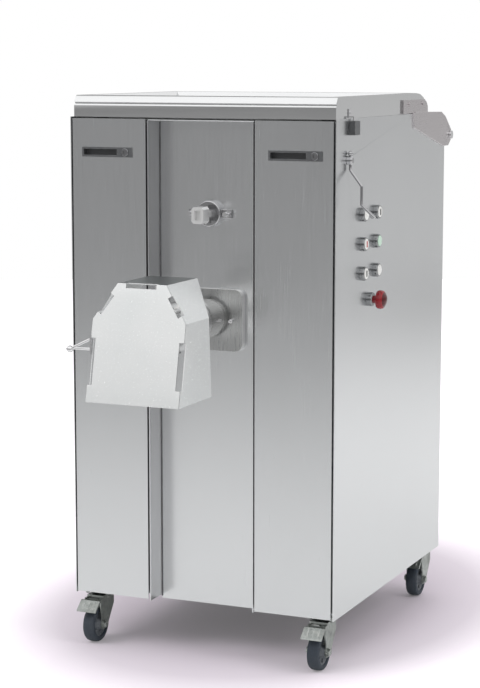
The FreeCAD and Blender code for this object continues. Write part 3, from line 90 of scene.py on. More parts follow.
def ramp(tree, socket, stops):
    """Colour ramp on a socket, from pairs of place and grey or colour."""
    node = tree.nodes.new("ShaderNodeValToRGB")
    band = node.color_ramp
    while len(band.elements) < len(stops):
        band.elements.new(0.5)
    for element, (place, tint) in zip(band.elements, stops):
        element.position = place
        element.color = (tint, tint, tint, 1) if isinstance(tint, (int, float)) else (*tint, 1)
    link(tree, socket, node.inputs["Fac"])
    return node.outputs["Color"]


def blend_of(tree, factor, a, b, kind="MIX"):
    """Mix of two colours; each may be a socket or a colour."""
    node = tree.nodes.new("ShaderNodeMix")
    node.data_type = "RGBA"
    node.blend_type = kind
    for index, value in ((0, factor), (6, a), (7, b)):
        socket = node.inputs[index]
        if isinstance(value, bpy.types.NodeSocket):
            link(tree, value, socket)
        elif isinstance(value, (int, float)):
            socket.default_value = value if index == 0 else (value, value, value, 1)
        else:
            socket.default_value = (*value, 1)
    return node.outputs[2]


def worked(tree, operation, a, b, c=None, clamp=False):
    """Math node on sockets or numbers."""
    node = tree.nodes.new("ShaderNodeMath")
    node.operation = operation
    node.use_clamp = clamp
    for socket, value in zip(node.inputs, (a, b, c)):
        if isinstance(value, bpy.types.NodeSocket):
            link(tree, value, socket)
        elif value is not None:
            socket.default_value = value
    return node.outputs[0]


def stretched(tree, vector, scale):
    """Mapping that stretches a pattern."""
    node = tree.nodes.new("ShaderNodeMapping")
    node.inputs["Scale"].default_value = scale
    link(tree, vector, node.inputs["Vector"])
    return node.outputs["Vector"]


# Grey of the walls against height: 0 is straight down, 0.5 level and 1 straight up. The front
# wall stands before the machine, the other two behind it to its right and to its left.
FRONT_WALL = ((0.40, 0.50), (0.47, 0.34), (0.51, 0.29), (0.57, 0.27), (0.60, 0.55), (0.68, 1.25), (1.0, 1.25))
RIGHT_WALL = ((0.40, 0.80), (0.48, 0.60), (0.50, 0.52), (0.545, 0.44), (0.60, 0.98),
              (0.90, 1.10), (0.92, 0.10), (0.965, 0.10), (0.98, 1.20))
LEFT_WALL = ((0.40, 0.50), (0.47, 0.33), (0.52, 0.29), (0.565, 0.33), (0.62, 0.90),
             (0.90, 1.10), (0.92, 0.10), (0.965, 0.10), (0.98, 1.20))
WALL_CHANGE = 4.0
AMBIENT = 0.62

world = bpy.data.worlds.new("studio")
scene.world = world
world.use_nodes = True
tree = world.node_tree
sky = tree.nodes["Background"]
heading = tree.nodes.new("ShaderNodeTexCoord")
parts = tree.nodes.new("ShaderNodeSeparateXYZ")
link(tree, heading.outputs["Generated"], parts.inputs[0])
height = worked(tree, "MULTIPLY_ADD", parts.outputs["Z"], 0.5, 0.5)
front_wall, right_wall, left_wall = (ramp(tree, height, wall) for wall in (FRONT_WALL, RIGHT_WALL, LEFT_WALL))
behind = worked(tree, "MULTIPLY_ADD", parts.outputs["Y"], WALL_CHANGE, 0.5, clamp=True)
leftward = worked(tree, "MULTIPLY_ADD", parts.outputs["X"], -WALL_CHANGE, 0.5, clamp=True)
rays = tree.nodes.new("ShaderNodeLightPath")
seen = blend_of(tree, behind, front_wall, blend_of(tree, leftward, right_wall, left_wall))
lit = blend_of(tree, rays.outputs["Is Glossy Ray"], AMBIENT, seen)
link(tree, blend_of(tree, rays.outputs["Is Camera Ray"], lit, 1.0), sky.inputs["Color"])

FLOOR_RADIUS = 7
# Painted light on the floor: the colour that reflections see fades with distance from a point behind the machine, a
# painted pool of light.
LIGHT_POOL_CENTRE, LIGHT_POOL_REACH = (1.0, 1.5, 0), 8.0
LIGHT_POOL_FADE = ((0.0, 0.97), (0.33, 0.97), (0.43, 0.86), (0.725, 0.60), (0.87, 0.40))
# Painted shadow on the floor: the camera sees a darker purple-grey colour round the machine's base, and a white glow
# fades in only beyond that pool.
SHADOW_TINT = (0.60, 0.53, 0.60)
SHADOW_CENTRE, SHADOW_STRETCH = (-0.03, 0.10, 0), (1, 0.74, 1)
SHADOW_FADE = ((0.0, 0.09), (0.34, 0.09), (0.46, 0.20), (0.57, 0.50), (0.68, 1.0))

clear()
bpy.ops.mesh.primitive_circle_add(vertices=96, radius=FLOOR_RADIUS, fill_type="NGON", location=(0, 0, 0))
floor = bpy.context.object
floor.name = "studio_floor"
paint = bpy.data.materials.new("floor_paper")
paint.use_nodes = True
tree = paint.node_tree
surface = tree.nodes["Principled BSDF"]
surface.inputs["Roughness"].default_value = 0.9
surface.inputs["Specular IOR Level"].default_value = 0.1
where = tree.nodes.new("ShaderNodeTexCoord")
far = tree.nodes.new("ShaderNodeVectorMath")
far.operation = "DISTANCE"
link(tree, where.outputs["Object"], far.inputs[0])
far.inputs[1].default_value = LIGHT_POOL_CENTRE
painted_light_pool = ramp(tree, worked(tree, "DIVIDE", far.outputs["Value"], LIGHT_POOL_REACH), LIGHT_POOL_FADE)
rays = tree.nodes.new("ShaderNodeLightPath")
link(tree, blend_of(tree, rays.outputs["Is Camera Ray"], painted_light_pool, SHADOW_TINT), surface.inputs["Base Color"])
surface.inputs["Emission Color"].default_value = (1, 1, 1, 1)
shadow_pool = tree.nodes.new("ShaderNodeVectorMath")
shadow_pool.operation = "DISTANCE"
link(tree, stretched(tree, where.outputs["Object"], SHADOW_STRETCH), shadow_pool.inputs[0])
shadow_pool.inputs[1].default_value = SHADOW_CENTRE
painted_shadow_glow = ramp(tree, shadow_pool.outputs["Value"], SHADOW_FADE)
link(tree, worked(tree, "MULTIPLY", rays.outputs["Is Camera Ray"], painted_shadow_glow), surface.inputs["Emission Strength"])
floor.data.materials.append(paint)


# Base frame: a ring of square stainless tube with four posts, flat gussets where the castors
# bolt on and a thick plate behind the tub. It is welded up, and the beads are left as laid.

def new_group(name, inputs, outputs):
    """Empty shader group with named sockets."""
    group = bpy.data.node_groups.new(name, "ShaderNodeTree")
    for label, kind, value in inputs:
        socket = group.interface.new_socket(label, in_out="INPUT", socket_type="NodeSocket" + kind)
        if value is not None:
            socket.default_value = value
    for label, kind in outputs:
        group.interface.new_socket(label, in_out="OUTPUT", socket_type="NodeSocket" + kind)
    return group, group.nodes.new("NodeGroupInput"), group.nodes.new("NodeGroupOutput")


def noise(tree, vector, scale, detail=3.0, rough=0.5):
    """Noise texture on a vector socket."""
    node = tree.nodes.new("ShaderNodeTexNoise")
    node.inputs["Scale"].default_value = scale
    node.inputs["Detail"].default_value = detail
    node.inputs["Roughness"].default_value = rough
    link(tree, vector, node.inputs["Vector"])
    return node.outputs["Fac"]


def bumped(tree, shader, height, strength, depth=0.0002):
    """Bump from a height socket into a shader."""
    bump = tree.nodes.new("ShaderNodeBump")
    bump.inputs["Strength"].default_value = strength
    bump.inputs["Distance"].default_value = depth
    link(tree, height, bump.inputs["Height"])
    link(tree, bump.outputs["Normal"], shader.inputs["Normal"])


# Brushing: fine stretched scratches, broad wipe marks and a light change of gloss
brushing, into, out = new_group(
    "brushing",
    (("Fine", "Vector", None), ("Broad", "Vector", None),
     ("Base", "Color", (0.7, 0.7, 0.7, 1)), ("Gloss", "Float", 0.3)),
    (("Color", "Color"), ("Roughness", "Float"), ("Height", "Float")))
scratches = noise(brushing, into.outputs["Fine"], 1.0, 4.0, 0.65)
wipes = noise(brushing, into.outputs["Broad"], 1.0, 3.0, 0.55)
shade = ramp(brushing, scratches, ((0.30, 0.955), (0.70, 1.0)))
cloud = ramp(brushing, wipes, ((0.35, 0.975), (0.65, 1.0)))
toned = blend_of(brushing, 1.0, into.outputs["Base"], shade, "MULTIPLY")
link(brushing, blend_of(brushing, 1.0, toned, cloud, "MULTIPLY"), out.inputs["Color"])
swing = worked(brushing, "MULTIPLY_ADD", scratches, 0.10, -0.05)
drift = worked(brushing, "MULTIPLY_ADD", wipes, 0.05, -0.025)
total = worked(brushing, "ADD", worked(brushing, "ADD", into.outputs["Gloss"], swing), drift, clamp=True)
link(brushing, total, out.inputs["Roughness"])
link(brushing, scratches, out.inputs["Height"])

# Wear: patches of the broken edges, which each piece marks in its own "edge" attribute
wear, into, out = new_group("edge_wear", (("Vector", "Vector", None), ("Scale", "Float", 60.0)), (("Mask", "Float"),))
marked = wear.nodes.new("ShaderNodeAttribute")
marked.attribute_name = "edge"
speckle = wear.nodes.new("ShaderNodeTexNoise")
link(wear, into.outputs["Vector"], speckle.inputs["Vector"])
link(wear, into.outputs["Scale"], speckle.inputs["Scale"])
patch = ramp(wear, speckle.outputs["Fac"], ((0.40, 0.0), (0.58, 1.0)))
link(wear, blend_of(wear, 1.0, marked.outputs["Color"], patch, "MULTIPLY"), out.inputs["Mask"])


def material(name):
    """New material with its tree, its shader and object coordinates."""
    made = bpy.data.materials.new(name)
    made.use_nodes = True
    tree = made.node_tree
    return made, tree, tree.nodes["Principled BSDF"], tree.nodes.new("ShaderNodeTexCoord").outputs["Object"]


def worn(tree, place, scale=60.0):
    """Edge wear mask of the piece that carries the material."""
    group = tree.nodes.new("ShaderNodeGroup")
    group.node_tree = wear
    link(tree, place, group.inputs["Vector"])
    group.inputs["Scale"].default_value = scale
    return group.outputs["Mask"]


def steel(name, base, gloss, fine=(900, 900, 12), broad=(3, 3, 1.2), depth=0.05):
    """Brushed steel; fine and broad are the pattern's scales along the three axes."""
    made, tree, shader, place = material(name)
    group = tree.nodes.new("ShaderNodeGroup")
    group.node_tree = brushing
    link(tree, stretched(tree, place, fine), group.inputs["Fine"])
    link(tree, stretched(tree, place, broad), group.inputs["Broad"])
    group.inputs["Base"].default_value = (*base, 1)
    group.inputs["Gloss"].default_value = gloss
    bright = [min(1.0, c * 1.15) for c in base]
    link(tree, blend_of(tree, worn(tree, place), group.outputs["Color"], bright), shader.inputs["Base Color"])
    link(tree, group.outputs["Roughness"], shader.inputs["Roughness"])
    bumped(tree, shader, group.outputs["Height"], depth)
    shader.inputs["Metallic"].default_value = 1.0
    return made


def tinted(piece, finish, test):
    """Second material on the faces that pass a test; each use here is a darker copy that paints shade."""
    piece.data.materials.append(finish)
    for face in piece.data.polygons:
        if test(face):
            face.material_index = len(piece.data.materials) - 1


def taken(piece, body, finish, slot_name, *nodes):
    """Give a finished piece its material and body, and hide the nodes it stands for; slot_name is not used."""
    piece.data.materials.clear()
    piece.data.materials.append(finish)
    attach(piece, body)
    if nodes:
        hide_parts(*nodes)
    return piece


BODY_OF = {node: body for body, nodes in frame["record"]["behaviour"]["bodies"].items() for node in nodes}
SLOT_OF = {row["node"]: row["material_slot"] for row in frame["record"]["subparts"]}


def active(piece):
    """Make a piece the only selected one."""
    clear()
    piece.select_set(True)
    bpy.context.view_layer.objects.active = piece


def bevelled(piece, width, segments=2, angle=35):
    """Break the edges with an applied bevel, mark its faces as edge, and shade smooth."""
    mesh = piece.data
    mesh.materials.clear()
    mesh.materials.append(None)
    mesh.materials.append(None)
    active(piece)
    edge = piece.modifiers.new("edge", "BEVEL")
    edge.width = width
    edge.segments = segments
    edge.limit_method = "ANGLE"
    edge.angle_limit = math.radians(angle)
    edge.material = 1
    bpy.ops.object.modifier_apply(modifier=edge.name)
    mark = mesh.attributes.new("edge", "FLOAT", "FACE")
    mark.data.foreach_set("value", [float(face.material_index == 1) for face in mesh.polygons])
    mesh.polygons.foreach_set("material_index", [0] * len(mesh.polygons))
    bpy.ops.object.shade_smooth_by_angle(angle=math.radians(38))
    even = piece.modifiers.new("even", "WEIGHTED_NORMAL")
    even.weight = 100
    even.keep_sharp = True
    bpy.ops.object.modifier_apply(modifier=even.name)
    return piece


def eased(node, width, finish, segments=2, angle=35, shape=None):
    """Copy of a sheet or block node with its edges broken, standing for it; shape works it first."""
    source = frame["nodes"][node]
    piece = bpy.data.objects.new(node + "_skin", source.data.copy())
    scene.collection.objects.link(piece)
    active(piece)
    bpy.ops.mesh.customdata_custom_splitnormals_clear()
    bpy.ops.object.mode_set(mode="EDIT")
    bpy.ops.mesh.select_all(action="SELECT")
    bpy.ops.mesh.remove_doubles(threshold=0.00001)
    bpy.ops.mesh.dissolve_limited(angle_limit=math.radians(0.5))
    if shape:
        shape(piece)
        bpy.ops.mesh.select_all(action="SELECT")
        bpy.ops.mesh.remove_doubles(threshold=0.00001)
        bpy.ops.mesh.dissolve_limited(angle_limit=math.radians(0.5))
    bpy.ops.mesh.quads_convert_to_tris(quad_method="BEAUTY", ngon_method="BEAUTY")
    bpy.ops.object.mode_set(mode="OBJECT")
    bevelled(piece, width, segments, angle)
    return taken(piece, BODY_OF[node], finish, SLOT_OF[node], node)


def mm(*values):
    """Point or size given in millimetres."""
    return Vector(values) / 1000


def joined(name, pieces):
    """Join pieces into one."""
    clear()
    for piece in pieces:
        piece.select_set(True)
    bpy.context.view_layer.objects.active = pieces[0]
    bpy.ops.object.join()
    pieces[0].name = name
    return pieces[0]


def copied(piece, move):
    """Copy with its own mesh, moved by a vector or a matrix."""
    twin = piece.copy()
    twin.data = piece.data.copy()
    twin.data.transform(Matrix.Translation(move) if isinstance(move, Vector) else move)
    scene.collection.objects.link(twin)
    return twin


frame_steel = steel("frame_steel", (0.58, 0.59, 0.60), 0.36, fine=(300, 300, 300), broad=(9, 9, 9), depth=0.15)
eased("base_frame", 0.002, frame_steel)


def bead(start, end, radius=2.2):
    """Weld bead: overlapping ripples from start to end, in millimetres."""
    clear()
    start, end = mm(*start), mm(*end)
    bpy.ops.mesh.primitive_uv_sphere_add(segments=10, ring_count=6, radius=radius / 1000, location=start)
    drop = bpy.context.object
    bpy.ops.object.transform_apply(location=True)
    count = max(2, int((end - start).length / (radius * 0.0009)))
    step = drop.modifiers.new("ripple", "ARRAY")
    step.count = count
    step.use_relative_offset = False
    step.use_constant_offset = True
    step.constant_offset_displace = (end - start) / (count - 1)
    bpy.ops.object.modifier_apply(modifier=step.name)
    bpy.ops.object.shade_smooth()
    return drop


CROSS_FACES = (-290, -250, 179, 219, 308, 348)
SIDE_FACE, TUBE_LOW, TUBE_TOP = 256, 119, 157
POST_FACES, POST_INNER, POST_OUTER = (-320, -298), 275, 295
BULKHEAD_FACE, BULKHEAD_EDGE, BULKHEAD_SEAM = 197.5, 294, (170, 300)
beads = []
for sign in (-1, 1):
    for y in CROSS_FACES:
        beads.append(bead((sign * SIDE_FACE, y, TUBE_LOW), (sign * SIDE_FACE, y, TUBE_TOP - 2)))
    for y in POST_FACES:
        beads.append(bead((sign * POST_INNER, y, TUBE_TOP), (sign * POST_OUTER, y, TUBE_TOP)))
    beads.append(bead(*((sign * BULKHEAD_EDGE, BULKHEAD_FACE, z) for z in BULKHEAD_SEAM)))
weld_tint, tree, shader, place = material("weld_tint")
heat = noise(tree, place, 45.0, 2.0)
tone = ramp(tree, heat, ((0.30, (0.36, 0.31, 0.26)), (0.50, (0.55, 0.53, 0.50)), (0.70, (0.38, 0.42, 0.50))))
link(tree, tone, shader.inputs["Base Color"])
link(tree, ramp(tree, heat, ((0.3, 0.30), (0.7, 0.46))), shader.inputs["Roughness"])
shader.inputs["Metallic"].default_value = 1.0
bumped(tree, shader, noise(tree, place, 900.0, 2.0), 0.2)
taken(joined("frame_welds", beads), "cabinet", weld_tint, SLOT_OF["base_frame"])


# Castors: pressed zinc-plated forks that swivel on a ball race under a bolted top plate. The
# grey core carries a black rubber tyre, and a ribbed pedal behind the fork brakes the wheel.

def pick(piece, kind, test):
    """Select in edit mode the faces, edges or corners that pass a test."""
    if bpy.context.mode == "OBJECT":
        active(piece)
        bpy.ops.object.mode_set(mode="EDIT")
    bpy.ops.mesh.select_mode(type=kind)
    bpy.ops.mesh.select_all(action="DESELECT")
    cage = bmesh.from_edit_mesh(piece.data)
    for item in {"FACE": cage.faces, "EDGE": cage.edges, "VERT": cage.verts}[kind]:
        item.select_set(bool(test(item)))
    bmesh.update_edit_mesh(piece.data)


def block(centre, size):
    """Block in millimetres, to be worked further."""
    clear()
    bpy.ops.mesh.primitive_cube_add(size=1, location=mm(*centre), scale=mm(*size))
    bpy.ops.object.transform_apply(location=True, scale=True)
    return bpy.context.object


def lathed(name, axis, base, profile, steps=48, closed=False):
    """Turned piece: a point is extruded along (along, radius) pairs in millimetres, then spun."""
    along = Vector([float(letter == axis) for letter in "XYZ"])
    outward = Vector((1, 0, 0)) if axis == "Z" else Vector((0, 0, 1))
    spots = [mm(*base) + along * (a / 1000) + outward * (r / 1000) for a, r in profile]
    if closed:
        spots.append(spots[0])
    clear()
    bpy.ops.mesh.primitive_plane_add(size=0.001, location=spots[0])
    piece = bpy.context.object
    piece.name = name
    bpy.ops.object.transform_apply(location=True)
    bpy.ops.object.mode_set(mode="EDIT")
    bpy.ops.mesh.select_mode(type="VERT")
    bpy.ops.mesh.select_all(action="SELECT")
    bpy.ops.mesh.merge(type="CENTER")
    for before, after in zip(spots, spots[1:]):
        bpy.ops.mesh.extrude_region_move(TRANSFORM_OT_translate={"value": after - before})
    bpy.ops.mesh.select_all(action="SELECT")
    bpy.ops.mesh.spin(steps=steps, angle=2 * math.pi, center=mm(*base), axis=along)
    bpy.ops.mesh.select_all(action="SELECT")
    bpy.ops.mesh.remove_doubles(threshold=0.000002)
    bpy.ops.mesh.normals_make_consistent(inside=False)
    bpy.ops.object.mode_set(mode="OBJECT")
    bpy.ops.object.shade_smooth_by_angle(angle=math.radians(30))
    return piece


def bolt(spot, heading, flats, head, washer=0.0, socket=False):
    """Screw head on a washer at spot, in millimetres, standing out along heading."""
    clear()
    sides, radius = (32, flats / 2) if socket else (6, flats / math.sqrt(3))
    middle = mm(0, 0, washer + head / 2)
    bpy.ops.mesh.primitive_cylinder_add(vertices=sides, radius=radius / 1000, depth=head / 1000, location=middle)
    piece = bpy.context.object
    bpy.ops.object.transform_apply(location=True)
    pick(piece, "FACE", lambda face: face.normal.z > 0.9)
    bpy.ops.mesh.inset(thickness=flats * 0.00008)
    bpy.ops.transform.translate(value=mm(0, 0, head * 0.12))
    if socket:
        bpy.ops.mesh.inset(thickness=flats * 0.00020)
        bpy.ops.transform.translate(value=mm(0, 0, -head * 0.5))
    else:
        bpy.ops.mesh.inset(thickness=flats * 0.00012)
        bpy.ops.transform.translate(value=mm(0, 0, head * 0.06))
    bpy.ops.object.mode_set(mode="OBJECT")
    bevelled(piece, flats * 0.00002, 1)
    if washer:
        ring = lathed("washer", "Z", (0, 0, 0), [
            (0, flats * 0.3), (0, flats * 0.85), (washer * 0.8, flats * 0.85), (washer, flats * 0.8),
            (washer, flats * 0.3)], 32, closed=True)
        piece = joined("bolt", [piece, ring])
    turn = Vector(heading).to_track_quat("Z", "Y").to_matrix().to_4x4()
    piece.data.transform(Matrix.Translation(mm(*spot)) @ turn)
    return piece


zinc, tree, shader, place = material("zinc_plate")
spangle = noise(tree, place, 140.0, 3.0, 0.6)
grime = noise(tree, place, 22.0, 4.0, 0.6)
tone = ramp(tree, spangle, ((0.30, (0.29, 0.31, 0.30)), (0.55, (0.37, 0.39, 0.375)), (0.75, (0.45, 0.46, 0.44))))
tone = blend_of(tree, ramp(tree, grime, ((0.50, 0.0), (0.75, 0.55))), tone, (0.18, 0.18, 0.17))
link(tree, blend_of(tree, worn(tree, place, 120.0), tone, (0.58, 0.58, 0.57)), shader.inputs["Base Color"])
link(tree, ramp(tree, grime, ((0.35, 0.30), (0.70, 0.52))), shader.inputs["Roughness"])
shader.inputs["Metallic"].default_value = 1.0
bumped(tree, shader, spangle, 0.12)

rubber, tree, shader, place = material("tyre_rubber")
scuff = noise(tree, place, 260.0, 4.0, 0.6)
dust = noise(tree, place, 30.0, 4.0, 0.6)
tone = ramp(tree, scuff, ((0.30, (0.018, 0.025, 0.036)), (0.70, (0.034, 0.044, 0.060))))
tone = blend_of(tree, ramp(tree, dust, ((0.55, 0.0), (0.85, 0.25))), tone, (0.10, 0.105, 0.11))
link(tree, tone, shader.inputs["Base Color"])
link(tree, ramp(tree, scuff, ((0.3, 0.55), (0.7, 0.78))), shader.inputs["Roughness"])
bumped(tree, shader, scuff, 0.5)

core_grey, tree, shader, place = material("wheel_core_grey")
grain = noise(tree, place, 400.0, 3.0)
link(tree, ramp(tree, grain, ((0.3, (0.085, 0.095, 0.11)), (0.7, (0.13, 0.14, 0.155)))), shader.inputs["Base Color"])
link(tree, ramp(tree, grain, ((0.3, 0.36), (0.7, 0.50))), shader.inputs["Roughness"])
bumped(tree, shader, grain, 0.25)

CASTOR_SIDE, CASTOR_FRONT, CASTOR_REAR = 261.5, -308, 327
TRAIL, WHEEL_RADIUS = 27, 40
TREAD = [(-9.5, 27.2), (-12.6, 28.2), (-13.4, 31), (-13.2, 34.5), (-12.2, 37.2), (-9.5, 39.0), (-5, 39.8),
         (0, WHEEL_RADIUS - 0.02), (5, 39.8), (9.5, 39.0), (12.2, 37.2), (13.2, 34.5), (13.4, 31), (12.6, 28.2),
         (9.5, 27.2)]
CORE = [(-16.5, 6.1), (-16.5, 11.4), (-15.5, 12), (-11, 12.6), (-8.5, 14.5), (-7.2, 17), (-7.2, 22.5), (-9, 24.5),
        (-10.4, 27.4), (10.4, 27.4), (9, 24.5), (7.2, 22.5), (7.2, 17), (8.5, 14.5), (11, 12.6), (15.5, 12),
        (16.5, 11.4), (16.5, 6.1)]
RIBS, RIB_SIZE, RIB_REACH = 6, (20, 2.6, 12), 18.5
FORK_SIDE = 23
RACE = [(94, 14), (94, 22), (95, 23.2), (98.4, 23.2), (99.4, 22), (99.4, 19.6), (101.6, 19.6), (102.6, 18), (102.6, 14)]
GRIPS, GRIP_SIZE, GRIP_Y, GRIP_Z = (-12, 0, 12), (6, 16, 1.6), -369.5, 88.6
SCREW_SIDE, SCREW_FRONT, SCREW_Z = 24, 17.5, 105.4

pin_x, pin_y = -CASTOR_SIDE, CASTOR_FRONT
hub = (pin_x, pin_y - TRAIL, WHEEL_RADIUS)
tyre = lathed("tyre", "X", hub, TREAD, 64, closed=True)
core = [lathed("core", "X", hub, CORE, 64, closed=True)]
for step in range(RIBS):
    rib = block((0, 0, RIB_REACH), RIB_SIZE)
    pick(rib, "FACE", lambda face: abs(face.normal.x) > 0.9)
    bpy.ops.transform.resize(value=(1, 0.55, 0.9))
    bpy.ops.object.mode_set(mode="OBJECT")
    bevelled(rib, 0.0004, 1)
    rib.data.transform(Matrix.Translation(mm(*hub)) @ Matrix.Rotation(2 * math.pi * step / RIBS, 4, "X"))
    core.append(rib)
core = joined("core", core)
nuts = [bolt((pin_x + sign * FORK_SIDE, *hub[1:]), (sign, 0, 0), 13, 3.4) for sign in (1, -1)]
race = lathed("race", "Z", (pin_x, pin_y, 0), RACE, 48, closed=True)
fittings = joined("fork_fittings", nuts + [race])
grips = []
for offset in GRIPS:
    grip = block((pin_x + offset, GRIP_Y, GRIP_Z), GRIP_SIZE)
    pick(grip, "FACE", lambda face: face.normal.z > 0.9)
    bpy.ops.transform.resize(value=(0.6, 0.85, 1))
    pick(grip, "VERT", lambda vert: vert.co.y < GRIP_Y / 1000)
    bpy.ops.transform.translate(value=mm(0, 0, -6.9))
    pick(grip, "VERT", lambda vert: vert.co.y > GRIP_Y / 1000)
    bpy.ops.transform.translate(value=mm(0, 0, 6.3))
    bpy.ops.object.mode_set(mode="OBJECT")
    grips.append(bevelled(grip, 0.0004, 1))
grips = joined("pedal_grips", grips)
heads = joined("plate_screws", [bolt((pin_x + x, pin_y + y, SCREW_Z), (0, 0, -1), 8, 1.6)
                                for x in (-SCREW_SIDE, SCREW_SIDE) for y in (-SCREW_FRONT, SCREW_FRONT)])
models = {"tyre": tyre, "core": core, "fork_fittings": fittings, "pedal_grips": grips, "plate_screws": heads}
for corner, x, y in (("front_right", CASTOR_SIDE, CASTOR_FRONT), ("rear_left", -CASTOR_SIDE, CASTOR_REAR),
                     ("rear_right", CASTOR_SIDE, CASTOR_REAR), ("front_left", -CASTOR_SIDE, CASTOR_FRONT)):
    shift = mm(x - pin_x, y - pin_y, 0)
    stem = "castor_" + corner
    for part, body, finish, node in (
            ("tyre", stem + "_roller", rubber, stem + "_wheel"),
            ("core", stem + "_roller", core_grey, stem + "_wheel"),
            ("fork_fittings", stem + "_swivel", zinc, stem + "_fork"),
            ("pedal_grips", stem + "_brake", zinc, stem + "_pedal"),
            ("plate_screws", "cabinet", zinc, "castor_plates")):
        piece = models[part] if corner == "front_left" else copied(models[part], shift)
        piece.name = f"{stem}_{part}"
        taken(piece, body, finish, SLOT_OF[node], *([node] if part == "tyre" else []))
    eased(stem + "_fork", 0.0009, zinc)
    eased(stem + "_pedal", 0.0009, zinc)
eased("castor_plates", 0.0006, zinc)


# Cabinet skins: 2 mm stainless sheet, folded at the edges and screwed or welded to the frame.
# The grain runs upright, and the rear sheet has louvre hoods pressed over its air slots.
panel_steel = steel("panel_steel", (0.70, 0.71, 0.72), 0.25)
for name in ("left_side_panel", "right_side_panel", "front_panel", "rear_panel"):
    eased(name, 0.0006, panel_steel)
# The recess's side walls, folds of the same front sheet, take a darker and duller copy of the panel steel: painted
# shade on the walls of the recess.
recess_wall_shade_steel = steel("recess_wall_shade_steel", (0.65, 0.65, 0.66), 0.32)
RECESS_SIDE, RECESS_FACE = 118, -297
tinted(bpy.data.objects["front_panel_skin"], recess_wall_shade_steel,
       lambda face: abs(face.normal.x) > 0.9 and abs(face.center.x) < (RECESS_SIDE + 3) / 1000)
# Thin dark beads laid in the recess's two inner folds: painted shade along the fold lines.
fold_shade_bead, tree, shader, place = material("fold_shade_dark")
bead_mottle = noise(tree, place, 90.0, 3.0)
link(tree, ramp(tree, bead_mottle, ((0.3, (0.10, 0.10, 0.105)), (0.7, (0.15, 0.15, 0.155)))), shader.inputs["Base Color"])
link(tree, ramp(tree, bead_mottle, ((0.3, 0.45), (0.7, 0.60))), shader.inputs["Roughness"])
bumped(tree, shader, bead_mottle, 0.4)
RUN_LENGTH, RUN_HEIGHT = 1.024, 620
runs = []
for sign in (-1, 1):
    clear()
    centre = mm(sign * (RECESS_SIDE - 0.4), RECESS_FACE - 0.6, RUN_HEIGHT)
    bpy.ops.mesh.primitive_cylinder_add(vertices=12, radius=0.0016, depth=RUN_LENGTH, location=centre)
    run = bpy.context.object
    bpy.ops.object.transform_apply(location=True)
    bpy.ops.object.mode_set(mode="EDIT")
    bpy.ops.mesh.select_all(action="SELECT")
    corner = mm(sign * RECESS_SIDE, RECESS_FACE, 0)
    bpy.ops.mesh.bisect(plane_co=corner, plane_no=(sign, 1, 0), use_fill=True, clear_outer=True)
    bpy.ops.object.mode_set(mode="OBJECT")
    bpy.ops.object.shade_smooth_by_angle(angle=math.radians(40))
    runs.append(run)
taken(joined("recess_fold_shade", runs), "cabinet", fold_shade_bead, SLOT_OF["front_panel"])

screw_steel = steel("screw_steel", (0.66, 0.66, 0.67), 0.26, fine=(260, 260, 260), broad=(20, 20, 20), depth=0.06)
REAR_FACE, SCREW_EDGE, SCREW_ROWS = 353, 285, (140, 370, 600, 830, 1050)
places = [(x, z) for x in (-SCREW_EDGE, SCREW_EDGE) for z in SCREW_ROWS] + [(0, 140), (0, 1062)]
screws = [bolt((x, REAR_FACE, z), (0, 1, 0), 9, 2.2, washer=0.8, socket=True) for x, z in places]
taken(joined("rear_panel_screws", screws), "cabinet", screw_steel, SLOT_OF["rear_panel"])

SLOT_X, SLOT_Z = -105, 420.5
LOUVRE_ROWS, ROW_STEP, COLUMN_STEP = 9, 22, 210
hood_y = (REAR_FACE + 3) / 1000
hood = block((SLOT_X, REAR_FACE + 3, SLOT_Z), (96, 6, 13))
pick(hood, "EDGE", lambda edge: all(v.co.y > hood_y and v.co.z > SLOT_Z / 1000 for v in edge.verts))
bpy.ops.mesh.bevel(offset=0.0056, segments=6)
pick(hood, "EDGE", lambda edge: all(v.co.y > hood_y for v in edge.verts)
     and abs(edge.verts[0].co.x - edge.verts[1].co.x) < 0.001)
bpy.ops.mesh.bevel(offset=0.003, segments=3)
pick(hood, "FACE", lambda face: face.normal.z < -0.9)
bpy.ops.mesh.inset(thickness=0.0012)
bpy.ops.mesh.extrude_region_move(TRANSFORM_OT_translate={"value": mm(0, 0, 9)})
bpy.ops.object.mode_set(mode="OBJECT")
bevelled(hood, 0.0003, 1)
hoods = [hood]
for column in (0, COLUMN_STEP):
    for row in range(LOUVRE_ROWS):
        if column or row:
            hoods.append(copied(hood, mm(column, 0, ROW_STEP * row)))
taken(joined("rear_louvres", hoods), "cabinet", panel_steel, SLOT_OF["rear_panel"])


# Top deck: one sheet round the tub, folded down behind the lid. Its grain runs across.
deck_steel = steel("deck_steel", (0.72, 0.73, 0.74), 0.24, fine=(12, 900, 900))
eased("top_deck", 0.0006, deck_steel)


# Doors: folded pans on pin hinges, each with a black flush pull and a turning lock at its
# right end. Rubber stops inside keep the sheet off the frame.
door_steel = steel("door_steel", (0.68, 0.69, 0.70), 0.25)
pull_black, tree, shader, place = material("pull_black")
grain = noise(tree, place, 900.0, 2.0)
tone = ramp(tree, grain, ((0.3, (0.070, 0.073, 0.077)), (0.7, (0.105, 0.108, 0.112))))
link(tree, blend_of(tree, worn(tree, place, 90.0), tone, (0.19, 0.19, 0.195)), shader.inputs["Base Color"])
link(tree, ramp(tree, grain, ((0.3, 0.38), (0.7, 0.52))), shader.inputs["Roughness"])
bumped(tree, shader, grain, 0.3)
bright_steel = steel("bright_steel", (0.76, 0.76, 0.77), 0.18, fine=(200, 200, 200), broad=(8, 8, 8), depth=0.04)
lock_steel = steel("lock_steel", (0.30, 0.30, 0.31), 0.26, fine=(500, 60, 500), broad=(40, 40, 40), depth=0.06)
STIFFENER_SIZE, STIFFENER_Y, STIFFENER_Z = (44, 10, 860), -346, 590
STOP = [(0, 0), (0, 4.6), (-1.2, 5), (-2.8, 4.4), (-3.6, 3), (-3.6, 0)]
STOP_Y, STOP_ROWS = -327, (200, 620, 1040)
